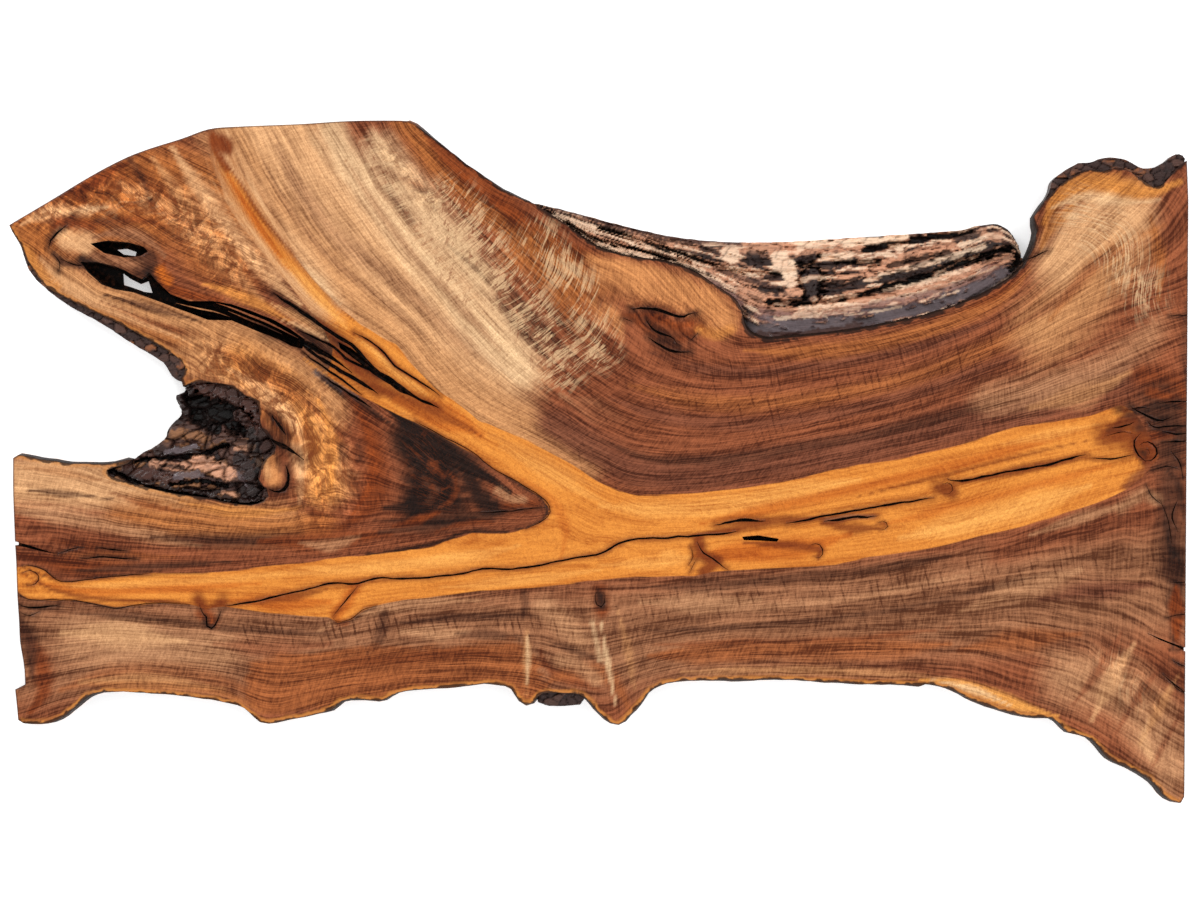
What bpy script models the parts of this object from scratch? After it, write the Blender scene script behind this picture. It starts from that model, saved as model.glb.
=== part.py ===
"""Live-edge walnut slab with a crotch, lying on its sawn underside, with the bark that is left on its edges.

The slab lies in the XY plane, its length along X, its sanded face up at +Z. The origin is at the centre
of its underside. Outlines are read on a plan drawing of the slab, x to the right and y down, in plan
units. The slab's real length sets the size of one unit.
"""

import math

import bmesh
import bpy
from mathutils import Vector, noise

# Driving dimensions, in metres.
SLAB_LENGTH = 1.80
SLAB_THICKNESS = 0.050
EASED_EDGE = 0.0015
LIVE_FLARE = 0.004
LIVE_WAVE = 0.0015
BARK_GAP = 0.0003
OUTLINE_STEP = 0.011
BARK_CELL = 0.011
CUTTER_REACH = 0.010

# The plan drawing: the slab's length and the middle of its box, in plan units.
PLAN_LENGTH = 1179.5
PLAN_MIDDLE = (598.74, 461.71)
UNIT = SLAB_LENGTH / PLAN_LENGTH

# The edge of the sanded face, clockwise from the tip of the upper limb. A sawn stretch stands upright.
LIMB_END_SAWN = [
    (9, 225), (52, 199.5), (90, 176.5), (122, 159.5), (147, 149.5), (182, 138.5), (209, 129),
    (239, 126.5), (300, 124), (348, 121), (396, 120.5), (408, 121.5),
]
SHOULDER_LIVE = [
    (408, 121.5), (416, 125), (434, 139), (453, 153), (472, 168), (497, 186), (516, 196.5), (535, 204),
]
SADDLE_LIP = [
    (535, 204), (549, 213), (563, 222), (574, 231), (597, 247), (627, 256.5), (659, 261), (681, 266.5),
    (699, 274.5), (716, 286), (732, 297), (738, 303.5), (742, 312), (743.5, 321), (746.5, 330), (753, 336.5),
    (765, 340.5), (780, 340), (839, 334), (905, 322), (941, 312), (967, 302.5), (989, 292), (1012, 277),
    (1023, 266),
]
NOTCH_LIVE = [(1023, 266), (1028, 256), (1035, 240), (1036.5, 230), (1033.5, 217)]
LOBE_LIP = [
    (1033.5, 217), (1042, 204), (1053.5, 191.5), (1067, 180), (1081, 172.5), (1091, 169.5), (1104, 171.5),
    (1115, 167.5), (1127, 169.5), (1138, 176.5), (1147, 183), (1154, 187), (1161, 186), (1168, 179),
    (1177, 168), (1187, 160.5),
]
BUTT_SAWN = [(1187, 160.5), (1188.5, 200), (1184.5, 797)]
LOWER_LIVE = [
    (1184.5, 797), (1181, 803.5), (1176, 802), (1164, 796), (1158, 788), (1150, 780), (1130, 768.5),
    (1116, 762.5), (1106, 756), (1099, 748), (1091, 739), (1083, 735.5), (1068, 732), (1060.5, 725),
    (1053, 718.5), (1040, 717.5), (1022, 715.5), (1003, 711), (976, 701.5), (959, 693), (944, 687),
    (928.5, 684), (922, 686), (900, 684.5), (849, 683.5), (791, 680), (734, 680), (682, 681), (663, 684.5),
    (650, 691.5), (641, 703), (632, 712.5), (623, 722.5), (615, 724), (607, 720.5), (600, 714),
    (590, 702), (583, 696.5), (574, 693.5), (549, 693), (538, 696), (530, 705), (522, 703), (516, 695),
    (510.5, 688.5), (500, 685), (484, 683.5), (463, 686), (434, 689), (405, 691), (392, 695), (382, 701.5),
    (376, 701), (357, 699), (342, 701), (329, 710.5), (300, 717.5), (268, 723.5), (258, 721), (247, 710.5),
    (235, 704.5), (214, 700), (172, 695), (134, 692.5), (103, 692), (86, 697), (75, 706.5), (63, 717),
    (50, 723), (34, 724), (21, 723.5), (18, 720),
]
FOOT_SAWN = [(18, 720), (16.5, 703), (15, 689.5)]
FOOT_STEP = [(15, 689.5), (25, 684.5)]
LIMB_SAWN = [
    (25, 684.5), (24, 666), (20, 642), (19, 622), (18, 607), (17, 590), (16, 560), (15, 544), (14, 519),
    (13, 490), (13, 458),
]
LIMB_LIVE = [(13, 458), (17, 454.5), (38, 459), (67, 463), (96, 464), (115, 462.5), (133, 459)]
POCKET_LIP = [
    (133, 459), (126, 464.5), (112, 468), (105.5, 471.5), (109, 475.5), (125.5, 482), (151, 488.5),
    (176.5, 494), (208, 498), (228, 502.5), (247, 505), (259, 503), (268, 496.5), (266, 488.5),
    (258.5, 482), (259, 472), (264, 460.5), (273.5, 451.5), (275, 444.5), (269.5, 438.5), (261, 426),
    (257, 403), (244, 395.5), (234, 388.5), (220, 383.5), (194.5, 382.5), (183, 386.5),
]
TONGUE_LIP = [
    (183, 386.5), (181, 378), (186, 369), (180, 359.5), (163, 348), (142, 336), (122, 325), (101, 315),
    (86, 308), (61, 295.5), (46, 286.5), (30, 265), (21.5, 246), (14, 235), (9, 225),
]

# Where the slab's widest line runs beyond the sanded face, over or beside the bark.
SADDLE_EDGE = [
    (535, 203), (562, 209), (587, 215.5), (600, 219), (629, 226.5), (667, 235), (705, 240), (743.5, 241.5),
    (791, 241), (839, 238), (900, 234), (957.5, 230), (976.5, 225.5), (994, 223), (1003, 225.5),
    (1011, 231), (1017, 240), (1021.5, 249),
]
LOBE_EDGE = [
    (1044, 199), (1049.5, 191), (1052, 181), (1062, 172.5), (1078, 163), (1091, 161.5),
    (1098, 158.5), (1108, 157), (1120, 157.5), (1128, 160), (1136, 164.5), (1144, 168), (1154, 167),
    (1165, 161), (1173, 155), (1178, 153), (1183.5, 155), (1186, 158),
]
POCKET_EDGE = [
    (133, 459), (141.5, 452), (153, 447), (164.5, 437.5), (166.5, 430), (174, 420.5), (180.5, 413),
    (175.5, 401), (175.5, 394.5), (181, 393), (183.5, 388),
]
TONGUE_EDGE = [
    (182, 383), (176, 380.5), (170, 374.5), (164.5, 365), (153, 356.5), (138, 347.5), (122.5, 338),
    (103, 325), (84, 314.5), (63, 302.5), (46, 289.5), (32.5, 276), (25, 262.5), (20.5, 247), (15, 236.5),
]
SPUR_EDGE = [(538, 702), (551, 706), (568, 705.5), (580, 704.5)]

# Openings in the sanded face: the rim of each void, and the smaller hole where it goes right through.
EYE_RIM = [
    (91, 244), (108, 241.5), (129, 243.5), (143, 247.5), (147, 251), (140, 255), (124, 256.5), (104, 252),
]
EYE_HOLE = [(114, 248.5), (124, 247.5), (134, 251), (133, 255), (121, 253.5)]
CHANNEL_RIM = [
    (81, 262.5), (97, 263), (114, 267), (124, 271), (134, 276.5), (142, 280), (149, 273.5), (155, 281),
    (170, 295), (188, 302), (213, 302), (231, 305), (250, 311.5), (273, 320.5), (290, 330), (304, 340),
    (302, 348), (291, 345), (279, 338.5), (253, 328.5), (232, 319.5), (208, 319), (190, 312), (176, 307),
    (163, 302), (148, 296.5), (134, 291.5), (116, 288.5), (102, 283.5), (88, 271),
]
CHANNEL_HOLE = [(120, 272), (128, 278), (138, 283), (146, 280), (150, 292), (142, 291), (128, 286), (121, 284)]
SLOT_RIM = [(742, 537), (758, 535.5), (779, 539), (777, 541.5), (760, 540.5), (744, 540)]
LEFT_SPLIT = [(10, 540), (30, 545.5), (56, 554), (40, 551), (22, 546.5), (10, 544.5)]
BUTT_SPLIT = [(1192, 650), (1172, 643), (1146, 632.5), (1160, 640), (1176, 646.5), (1192, 655)]
SHAKE_RIM = [(338, 342), (352, 349), (364, 359), (378, 373), (391, 381.5), (389, 384), (374, 374.5), (356, 360), (340, 348)]
VOID_FLOOR = 0.012
SLOT_FLOOR = 0.030

WALNUT_BROWN = (0.155, 0.062, 0.026, 1.0)
BARK_BROWN = (0.028, 0.016, 0.012, 1.0)


def plan(x, y, z=0.0):
    """A point of the plan drawing, at a height above the underside."""
    return Vector(((x - PLAN_MIDDLE[0]) * UNIT, (PLAN_MIDDLE[1] - y) * UNIT, z))


def on_curve(points, index, t):
    """A point on the smooth curve through the points, in the span after the given one."""
    p1, p2 = points[index], points[index + 1]
    p0 = points[index - 1] if index else p1
    p3 = points[index + 2] if index + 2 < len(points) else p2
    tangent_1, tangent_2 = (p2 - p0) / 2, (p3 - p1) / 2
    return (
        p1 * (2 * t**3 - 3 * t**2 + 1)
        + tangent_1 * (t**3 - 2 * t**2 + t)
        + p2 * (3 * t**2 - 2 * t**3)
        + tangent_2 * (t**3 - t**2)
    )


def even_steps(outline, count, straight=False):
    """count + 1 points, evenly spaced along a smooth curve through plan points."""
    points = [plan(*p) for p in outline]
    steps = 1 if straight else 10
    fine = [on_curve(points, i, s / steps) for i in range(len(points) - 1) for s in range(steps)]
    fine.append(points[-1])
    runs = [0.0]
    for a, b in zip(fine, fine[1:]):
        runs.append(runs[-1] + (b - a).length)
    found, at = [], 0
    for k in range(count + 1):
        run = runs[-1] * k / count
        while at < len(runs) - 2 and runs[at + 1] < run:
            at += 1
        share = (run - runs[at]) / max(runs[at + 1] - runs[at], 1e-9)
        found.append(fine[at].lerp(fine[at + 1], min(share, 1.0)))
    return found


def steps_for(outline, step=OUTLINE_STEP):
    """How many steps an outline takes at the usual spacing."""
    points = [plan(*p) for p in outline]
    return max(2, round(sum((b - a).length for a, b in zip(points, points[1:])) / step))


def outward(loop):
    """The unit normals, pointing out, of a closed loop that runs clockwise from above."""
    normals = []
    for before, after in zip([loop[-1], *loop[:-1]], [*loop[1:], loop[0]]):
        along = (after - before).normalized()
        normals.append(Vector((-along.y, along.x, 0.0)))
    return normals


def sanded_loop():
    """The edge of the sanded face as (point, kind) pairs. A live stretch wavers a little."""
    stretches = (
        (LIMB_END_SAWN, "sawn"),
        (SHOULDER_LIVE, "live"),
        (SADDLE_LIP, "saddle"),
        (NOTCH_LIVE, "live"),
        (LOBE_LIP, "lobe"),
        (BUTT_SAWN, "sawn"),
        (LOWER_LIVE, "live"),
        (FOOT_SAWN, "sawn"),
        (FOOT_STEP, "sawn"),
        (LIMB_SAWN, "sawn"),
        (LIMB_LIVE, "live"),
        (POCKET_LIP, "pocket"),
        (TONGUE_LIP, "tongue"),
    )
    loop, kinds = [], []
    for outline, kind in stretches:
        points = even_steps(outline, steps_for(outline), straight=outline is BUTT_SAWN)[:-1]
        loop += points
        kinds += [kind] * len(points)
    for i, (normal, kind) in enumerate(zip(outward(loop), kinds)):
        if kind == "live":
            loop[i] = loop[i] + normal * (LIVE_WAVE * noise.noise(loop[i] * 45))
    return loop, kinds


def foot_loop(loop, kinds):
    """The edge of the underside, step for step below the sanded face's edge."""
    saddle = even_steps(SADDLE_EDGE, kinds.count("saddle"))
    under_bark = {"lobe": 0.001, "tongue": 0.001, "pocket": 0.0, "sawn": 0.0}
    saddle_bark = 0.018
    foot = []
    for i, (point, normal, kind) in enumerate(zip(loop, outward(loop), kinds)):
        if kind == "live":
            flare = LIVE_FLARE * (0.8 + 0.6 * noise.noise(point * 12))
            foot.append(point + normal * flare)
        elif kind == "saddle":
            edge = saddle[i - kinds.index("saddle")]
            reach = (edge - point).length
            foot.append(point.lerp(edge, max(0.0, 1 - saddle_bark / max(reach, saddle_bark))))
        else:
            foot.append(point + normal * under_bark[kind])
    return foot


def side_rings(loop, foot, grow=0.0, reach=0.0):
    """Rings up the slab's side, from the underside to the sanded face, each with its points.

    grow moves every ring outwards, and reach carries the first and last ring past the faces.
    """
    steep = ((1.0, 0.0), (0.9, 0.14), (0.5, 0.5), (0.0, 0.965))
    wane = ((1.0, 0.0), (0.55, 0.28), (0.06, 0.44), (0.03, 0.95))
    rings = [[], [], [], []]
    for point, under in zip(loop, foot):
        share = min(max(((under - point).length - 0.010) / 0.035, 0.0), 1.0)
        for ring, (out_1, up_1), (out_2, up_2) in zip(rings, steep, wane):
            place = point.lerp(under, out_1 + (out_2 - out_1) * share)
            up = up_1 + (up_2 - up_1) * share
            lift = 2 * grow if 0.0 < up < 0.9 else 0.0
            ring.append(Vector((place.x, place.y, SLAB_THICKNESS * up + lift)))
    eased = [point - normal * EASED_EDGE for point, normal in zip(loop, outward(loop))]
    rings.append([Vector((p.x, p.y, SLAB_THICKNESS)) for p in eased])
    rings = [[p + n * grow for p, n in zip(ring, outward(ring))] for ring in rings]
    if reach:
        rings.insert(0, [Vector((p.x, p.y, -reach)) for p in rings[0]])
        rings.append([Vector((p.x, p.y, SLAB_THICKNESS + reach)) for p in rings[-1]])
    return rings


def raised(name, rings):
    """A closed body, extruded from its lowest ring up through the others."""
    bm = bmesh.new()
    cap = bm.faces.new([bm.verts.new(point) for point in rings[0]])
    first = cap
    for ring in rings[1:]:
        grown = bmesh.ops.extrude_face_region(bm, geom=[cap])["geom"]
        if cap is not first:
            bm.faces.remove(cap)
        cap = next(item for item in grown if isinstance(item, bmesh.types.BMFace))
        for vert, place in zip(cap.verts, ring):
            vert.co = place
    sides = [face for face in bm.faces if len(face.verts) == 4]
    bmesh.ops.triangulate(bm, faces=sides, quad_method="FIXED")
    return made_object(name, bm)


def made_object(name, bm):
    """The finished mesh as an object of the scene, its faces pointing out."""
    bmesh.ops.recalc_face_normals(bm, faces=bm.faces)
    mesh = bpy.data.meshes.new(name)
    bm.to_mesh(mesh)
    bm.free()
    obj = bpy.data.objects.new(name, mesh)
    bpy.context.scene.collection.objects.link(obj)
    return obj


def prism(name, outline, low, high, lean=0.0):
    """An upright body over a closed plan outline, its top wider than its foot by lean on each side."""
    corners = [plan(*p) for p in outline]
    if sum(a.x * b.y - b.x * a.y for a, b in zip(corners, [*corners[1:], corners[0]])) > 0:
        corners.reverse()
    normals = outward(corners)
    rings = [
        [Vector((p.x, p.y, low)) for p in corners],
        [Vector((p.x + n.x * lean, p.y + n.y * lean, high)) for p, n in zip(corners, normals)],
    ]
    return raised(name, rings)


def helper(obj):
    """Keeps a cutter out of the model."""
    obj.hide_render = True
    obj.display_type = "WIRE"
    return obj


def boolean(obj, operation, other):
    """A Boolean with another object, left on obj."""
    modifier = obj.modifiers.new(other.name, "BOOLEAN")
    modifier.operation = operation
    modifier.solver = "EXACT"
    modifier.object = other


def finish(obj, colour, roughness):
    """Gives a node its material and smooth shading."""
    material = bpy.data.materials.get(f"{colour[0]}") or bpy.data.materials.new(f"{colour[0]}")
    material.use_nodes = True
    shader = material.node_tree.nodes["Principled BSDF"]
    shader.inputs["Base Color"].default_value = colour
    shader.inputs["Roughness"].default_value = roughness
    obj.data.materials.append(material)
    obj.data.shade_smooth()
    obj.data.set_sharp_from_angle(angle=math.radians(32))


def cut_voids(slab):
    """Cuts the natural voids and the widest splits out of the slab."""
    through = SLAB_THICKNESS + CUTTER_REACH
    voids = (
        ("eye_cut", EYE_RIM, VOID_FLOOR, 0.002),
        ("eye_through", EYE_HOLE, -CUTTER_REACH, 0.0),
        ("channel_cut", CHANNEL_RIM, VOID_FLOOR, 0.002),
        ("channel_through", CHANNEL_HOLE, -CUTTER_REACH, 0.0),
        ("shake_cut", SHAKE_RIM, SLOT_FLOOR, 0.0005),
        ("slot_cut", SLOT_RIM, SLOT_FLOOR, 0.0005),
        ("left_split", LEFT_SPLIT, -CUTTER_REACH, 0.0),
        ("butt_split", BUTT_SPLIT, -CUTTER_REACH, 0.0),
    )
    for name, outline, floor, lean in voids:
        boolean(slab, "DIFFERENCE", helper(prism(name, outline, floor, through, lean)))


def nearest_gap(place, line):
    """How far a place on the plan is from a line of points."""
    return min((place - point).length for point in line)


def saddle_height(place, lip, edge):
    """The height of the saddle's bark: low by the wood, then long ridges, then down to its outer edge."""
    inner, outer = nearest_gap(place, lip), nearest_gap(place, edge)
    across = inner / max(inner + outer, 1e-6)
    trough, crown, rim = 0.030, 0.041, 0.030
    if across < 0.45:
        height = trough + (crown - trough) * math.sin(across / 0.45 * math.pi / 2)
    else:
        height = crown - (crown - rim) * ((across - 0.45) / 0.55) ** 2
    furrow = noise.noise(Vector((place.x * 9, (across + 0.25 * place.x) * 9, 3.0)))
    plates = noise.noise(Vector((place.x * 40, place.y * 90, 7.0)))
    return height + 0.0045 * furrow + 0.0015 * plates


def pocket_height(place, lip, edge):
    """The height of the bark grown into the pocket: a rim along the wood, plates, and a deep hollow."""
    inner, outer = nearest_gap(place, lip), nearest_gap(place, edge)
    across = inner / max(inner + outer, 1e-6)
    height = 0.040 - 0.012 * across
    hollow = (place - plan(212, 416)).length / (24 * UNIT)
    height -= 0.020 * math.exp(-hollow * hollow)
    plates = noise.noise(place * 55)
    lumps = noise.noise(place * 120 + Vector((0, 0, 5)))
    return height + 0.0055 * plates + 0.0025 * lumps


def strip_height(place, lip, edge):
    """The height of a thin bark strip, which stays a little below the sanded face."""
    return 0.0425 + 0.004 * noise.noise(place * 60)


def bark(name, inner, outer, over_wood, height_at, wood_cutter, cell=BARK_CELL):
    """A body of bark between the wood and the slab's widest line, fitted to the wood's side.

    over_wood is an outline inside the wood, from the end of outer back to its start.
    """
    lip = even_steps(inner, steps_for(inner, 0.004))
    edge = even_steps(outer, steps_for(outer, 0.004))
    ring = even_steps(outer, steps_for(outer, 0.009))
    for i, normal in enumerate(outward(ring)):
        if 0 < i < len(ring) - 1:
            ring[i] = ring[i] + normal * (0.0012 * noise.noise(ring[i] * 90) - 0.0012)
    corners = [(p.x, p.y) for p in ring] + [plan(*p).to_2d()[:] for p in over_wood]
    low = [min(c[k] for c in corners) - cell for k in (0, 1)]
    high = [max(c[k] for c in corners) + cell for k in (0, 1)]
    counts = [max(2, math.ceil((high[k] - low[k]) / cell)) for k in (0, 1)]
    bm = bmesh.new()
    bmesh.ops.create_grid(bm, x_segments=counts[0], y_segments=counts[1], size=0.5)
    for vert in bm.verts:
        place = Vector([low[k] + (vert.co[k] + 0.5) * (high[k] - low[k]) for k in (0, 1)] + [0.0])
        vert.co = (place.x, place.y, height_at(place, lip, edge))
    grown = bmesh.ops.extrude_face_region(bm, geom=bm.faces[:])["geom"]
    for item in grown:
        if isinstance(item, bmesh.types.BMVert):
            item.co.z = 0.0
    body = made_object(name, bm)
    trim_rings = [
        [Vector((x, y, z)) for x, y in corners] for z in (-CUTTER_REACH, SLAB_THICKNESS + CUTTER_REACH)
    ]
    boolean(body, "INTERSECT", helper(raised(name + "_trim", trim_rings)))
    boolean(body, "DIFFERENCE", wood_cutter)
    finish(body, BARK_BROWN, 0.7)
    return body


def build():
    """Makes the slab and its five bodies of bark."""
    for obj in list(bpy.data.objects):
        bpy.data.objects.remove(obj)
    loop, kinds = sanded_loop()
    foot = foot_loop(loop, kinds)
    slab = raised("walnut_slab", side_rings(loop, foot))
    cut_voids(slab)
    finish(slab, WALNUT_BROWN, 0.45)
    cutter = helper(raised("wood_cutter", side_rings(loop, foot, grow=BARK_GAP, reach=CUTTER_REACH)))
    bark(
        "saddle_bark", SADDLE_LIP, SADDLE_EDGE,
        [(1016, 300), (960, 330), (850, 350), (760, 360), (715, 335), (690, 290), (600, 270), (545, 225)],
        saddle_height, cutter,
    )
    bark(
        "lobe_bark", LOBE_LIP, LOBE_EDGE,
        [(1183, 172), (1160, 200), (1130, 185), (1100, 184), (1070, 190), (1045, 212)],
        strip_height, cutter, cell=0.009,
    )
    bark(
        "pocket_bark", POCKET_LIP, POCKET_EDGE,
        [(230, 370), (280, 410), (295, 450), (280, 515), (230, 515), (150, 500), (90, 475), (100, 466), (120, 463.5)],
        pocket_height, cutter, cell=0.009,
    )
    bark(
        "tongue_bark", TONGUE_LIP, TONGUE_EDGE,
        [(24, 238), (38, 262), (52, 280), (90, 300), (150, 330), (195, 360), (188, 377)],
        strip_height, cutter, cell=0.009,
    )
    bark(
        "spur_bark", SPUR_EDGE, SPUR_EDGE,
        [(584, 690), (560, 684), (541, 688)],
        strip_height, cutter, cell=0.007,
    )


build()
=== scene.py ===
"""A live-edge walnut slab with a crotch, its natural voids and cracks, and the bark left on its edges.

Places on the slab are read on its plan, x to the right and y down, in plan units of about 1.5 mm. The
slab's own box sets the size of a unit. Colours are brushed on the plan in strokes that follow the grain,
and the fine figure comes from the materials.
"""

import math
from functools import partial

import bmesh
import bpy
import numpy as np
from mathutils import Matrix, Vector


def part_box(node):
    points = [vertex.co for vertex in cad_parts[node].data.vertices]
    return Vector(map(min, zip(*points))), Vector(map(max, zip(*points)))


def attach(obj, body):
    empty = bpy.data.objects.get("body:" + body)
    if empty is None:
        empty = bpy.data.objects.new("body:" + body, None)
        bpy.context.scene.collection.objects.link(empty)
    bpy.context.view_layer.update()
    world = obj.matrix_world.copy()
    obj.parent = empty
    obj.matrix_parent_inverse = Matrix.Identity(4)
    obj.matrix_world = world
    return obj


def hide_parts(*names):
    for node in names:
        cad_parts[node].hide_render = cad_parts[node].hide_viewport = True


bl_info = {
    "name": "Live-edge walnut slab",
    "version": (1, 0, 0),
    "blender": (4, 5, 0),
    "location": "3D View > Sidebar > Walnut Slab",
    "description": "Dresses a walnut slab with figured wood and rough bark",
    "category": "Object",
}

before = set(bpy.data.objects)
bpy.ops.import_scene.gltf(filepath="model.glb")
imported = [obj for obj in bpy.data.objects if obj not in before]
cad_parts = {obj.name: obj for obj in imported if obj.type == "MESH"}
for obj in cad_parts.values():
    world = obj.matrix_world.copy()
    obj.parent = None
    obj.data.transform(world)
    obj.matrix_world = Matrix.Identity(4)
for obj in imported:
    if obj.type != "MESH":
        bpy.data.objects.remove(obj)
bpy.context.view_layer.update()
WOOD_LOW, WOOD_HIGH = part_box("walnut_slab")

# The plan, and how it lies on the slab.
PLAN_LENGTH = 1179.5
PLAN_MIDDLE = (598.74, 461.71)
UNIT = (WOOD_HIGH.x - WOOD_LOW.x) / PLAN_LENGTH
MM = 1000 * UNIT
TOP = WOOD_HIGH.z

# How far the wood stays inside the CAD's faces, and the bark under the sanded face and over the foot.
FACE_INSET = 0.0003
BARK_TOP_INSET = 0.0008
BARK_FOOT = 0.0004

# The saw's cross marks: their turn from straight across, in radians, and their pitch.
SAW_TURN = 0.24
SAW_PITCH = 0.0107

# What the camera sees of the plan, and the soft lamps: name, place in metres, and share of the light.
VIEW_WIDTH = 1200
VIEW_MIDDLE = (600, 450)
LAMPS = (
    ("key", (-2.6, 2.6, 2.4), 1.3), ("fill", (2.8, 1.6, 2.4), 0.7), ("front", (0.4, -3.2, 2.4), 0.8),
)

# The edge of the sanded face, clockwise from the tip of the upper limb, and what each stretch is.
EDGE_STRETCHES = (
    ("sawn", [(9, 225), (52, 199.5), (90, 176.5), (122, 159.5), (147, 149.5), (182, 138.5), (209, 129),
              (239, 126.5), (300, 124), (348, 121), (396, 120.5), (408, 121.5)]),
    ("live", [(416, 125), (434, 139), (453, 153), (472, 168), (497, 186), (516, 196.5), (535, 204)]),
    ("bark", [(549, 213), (563, 222), (574, 231), (597, 247), (627, 256.5), (659, 261), (681, 266.5),
              (699, 274.5), (716, 286), (732, 297), (738, 303.5), (742, 312), (743.5, 321), (746.5, 330),
              (753, 336.5), (765, 340.5), (780, 340), (839, 334), (905, 322), (941, 312), (967, 302.5),
              (989, 292), (1012, 277), (1023, 266)]),
    ("live", [(1028, 256), (1035, 240), (1036.5, 230), (1033.5, 217)]),
    ("bark", [(1042, 204), (1053.5, 191.5), (1067, 180), (1081, 172.5), (1091, 169.5), (1104, 171.5),
              (1115, 167.5), (1127, 169.5), (1138, 176.5), (1147, 183), (1154, 187), (1161, 186),
              (1168, 179), (1177, 168)]),
    ("sawn", [(1187, 160.5), (1188.5, 200), (1184.5, 797)]),
    ("live", [(1181, 803.5), (1176, 802), (1164, 796), (1158, 788), (1150, 780), (1130, 768.5),
              (1116, 762.5), (1106, 756), (1099, 748), (1091, 739), (1083, 735.5), (1068, 732),
              (1060.5, 725), (1053, 718.5), (1040, 717.5), (1022, 715.5), (1003, 711), (976, 701.5),
              (959, 693), (944, 687), (928.5, 684), (922, 686), (900, 684.5), (849, 683.5), (791, 680),
              (734, 680), (682, 681), (663, 684.5), (650, 691.5), (641, 703), (632, 712.5), (623, 722.5),
              (615, 724), (607, 720.5), (600, 714), (590, 702), (583, 696.5), (574, 693.5), (549, 693),
              (538, 696), (530, 705), (522, 703), (516, 695), (510.5, 688.5), (500, 685), (484, 683.5),
              (463, 686), (434, 689), (405, 691), (392, 695), (382, 701.5), (376, 701), (357, 699),
              (342, 701), (329, 710.5), (300, 717.5), (268, 723.5), (258, 721), (247, 710.5),
              (235, 704.5), (214, 700), (172, 695), (134, 692.5), (103, 692), (86, 697), (75, 706.5),
              (63, 717), (50, 723), (34, 724), (21, 723.5)]),
    ("sawn", [(18, 720), (16.5, 703), (15, 689.5), (25, 684.5), (24, 666), (20, 642), (19, 622),
              (18, 607), (17, 590), (16, 560), (15, 544), (14, 519), (13, 490)]),
    ("live", [(13, 458), (17, 454.5), (38, 459), (67, 463), (96, 464), (115, 462.5), (133, 459)]),
    ("bark", [(126, 464.5), (112, 468), (105.5, 471.5), (109, 475.5), (125.5, 482), (151, 488.5),
              (176.5, 494), (208, 498), (228, 502.5), (247, 505), (259, 503), (268, 496.5),
              (266, 488.5), (258.5, 482), (259, 472), (264, 460.5), (273.5, 451.5), (275, 444.5),
              (269.5, 438.5), (261, 426), (257, 403), (244, 395.5), (234, 388.5), (220, 383.5),
              (194.5, 382.5), (183, 386.5)]),
    ("bark", [(181, 378), (186, 369), (180, 359.5), (163, 348), (142, 336), (122, 325), (101, 315),
              (86, 308), (61, 295.5), (46, 286.5), (30, 265), (21.5, 246), (14, 235)]),
)

# Bark, each as the line along the wood, the line along its outside, and a way back under the wood.
SADDLE = (
    [(535, 204), *EDGE_STRETCHES[2][1]],
    [(535, 203), (562, 209), (587, 215.5), (600, 219), (629, 226.5), (667, 235), (705, 240), (743.5, 241.5),
     (791, 241), (839, 238), (900, 234), (957.5, 230), (976.5, 225.5), (994, 223), (1003, 225.5),
     (1011, 231), (1017, 240), (1021.5, 249)],
    [(1024, 262), (1016, 284), (992, 300), (945, 320), (905, 330), (840, 342), (780, 348), (750, 346),
     (738, 334), (735, 318), (728, 302), (700, 284), (660, 269), (625, 264), (590, 253), (560, 232),
     (540, 214)],
)
LOBE = (
    EDGE_STRETCHES[4][1],
    [(1042, 203), (1049.5, 191), (1052, 181), (1062, 172.5), (1078, 163), (1091, 161.5), (1098, 158.5),
     (1108, 157), (1120, 157.5), (1128, 160), (1136, 164.5), (1144, 168), (1154, 167), (1165, 161),
     (1173, 155), (1178, 153), (1183.5, 155), (1186, 158)],
    [(1184, 166), (1172, 183), (1160, 193), (1140, 186), (1126, 176), (1104, 178), (1080, 180), (1060, 195),
     (1047, 206)],
)
POCKET = (
    [(133, 459), *EDGE_STRETCHES[9][1]],
    [(133, 459), (141.5, 452), (153, 447), (164.5, 437.5), (166.5, 430), (174, 420.5), (180.5, 413),
     (175.5, 401), (175.5, 394.5), (181, 393), (183.5, 388)],
    [(196, 376), (236, 380), (264, 396), (270, 424), (284, 444), (268, 468), (268, 480), (277, 496),
     (262, 511), (240, 511), (175, 501), (120, 488), (100, 477), (98, 470), (110, 464), (122, 462)],
)
TONGUE = (
    EDGE_STRETCHES[10][1],
    [(181, 382), (176, 380.5), (170, 374.5), (164.5, 365), (153, 356.5), (138, 347.5), (122.5, 338),
     (103, 325), (84, 314.5), (63, 302.5), (46, 289.5), (32.5, 276), (25, 262.5), (20.5, 247), (15, 236.5)],
    [(20, 236), (28, 250), (37, 266), (50, 281), (90, 303), (125, 318), (165, 341), (190, 360), (190, 372)],
)
SPUR = (
    [(583, 696.5), (574, 693.5), (549, 693), (538, 696)],
    [(538, 702), (551, 706), (568, 705.5), (580, 704.5)],
    [(586, 697), (574, 689), (549, 689), (536, 694)],
)

# The line that the saddle's ridges follow on the wood's side.
SADDLE_FOOT = [
    (535, 206), (600, 252), (660, 276), (716, 306), (760, 336), (790, 341), (839, 335), (905, 323),
    (967, 304), (1012, 279), (1026, 264),
]

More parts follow.
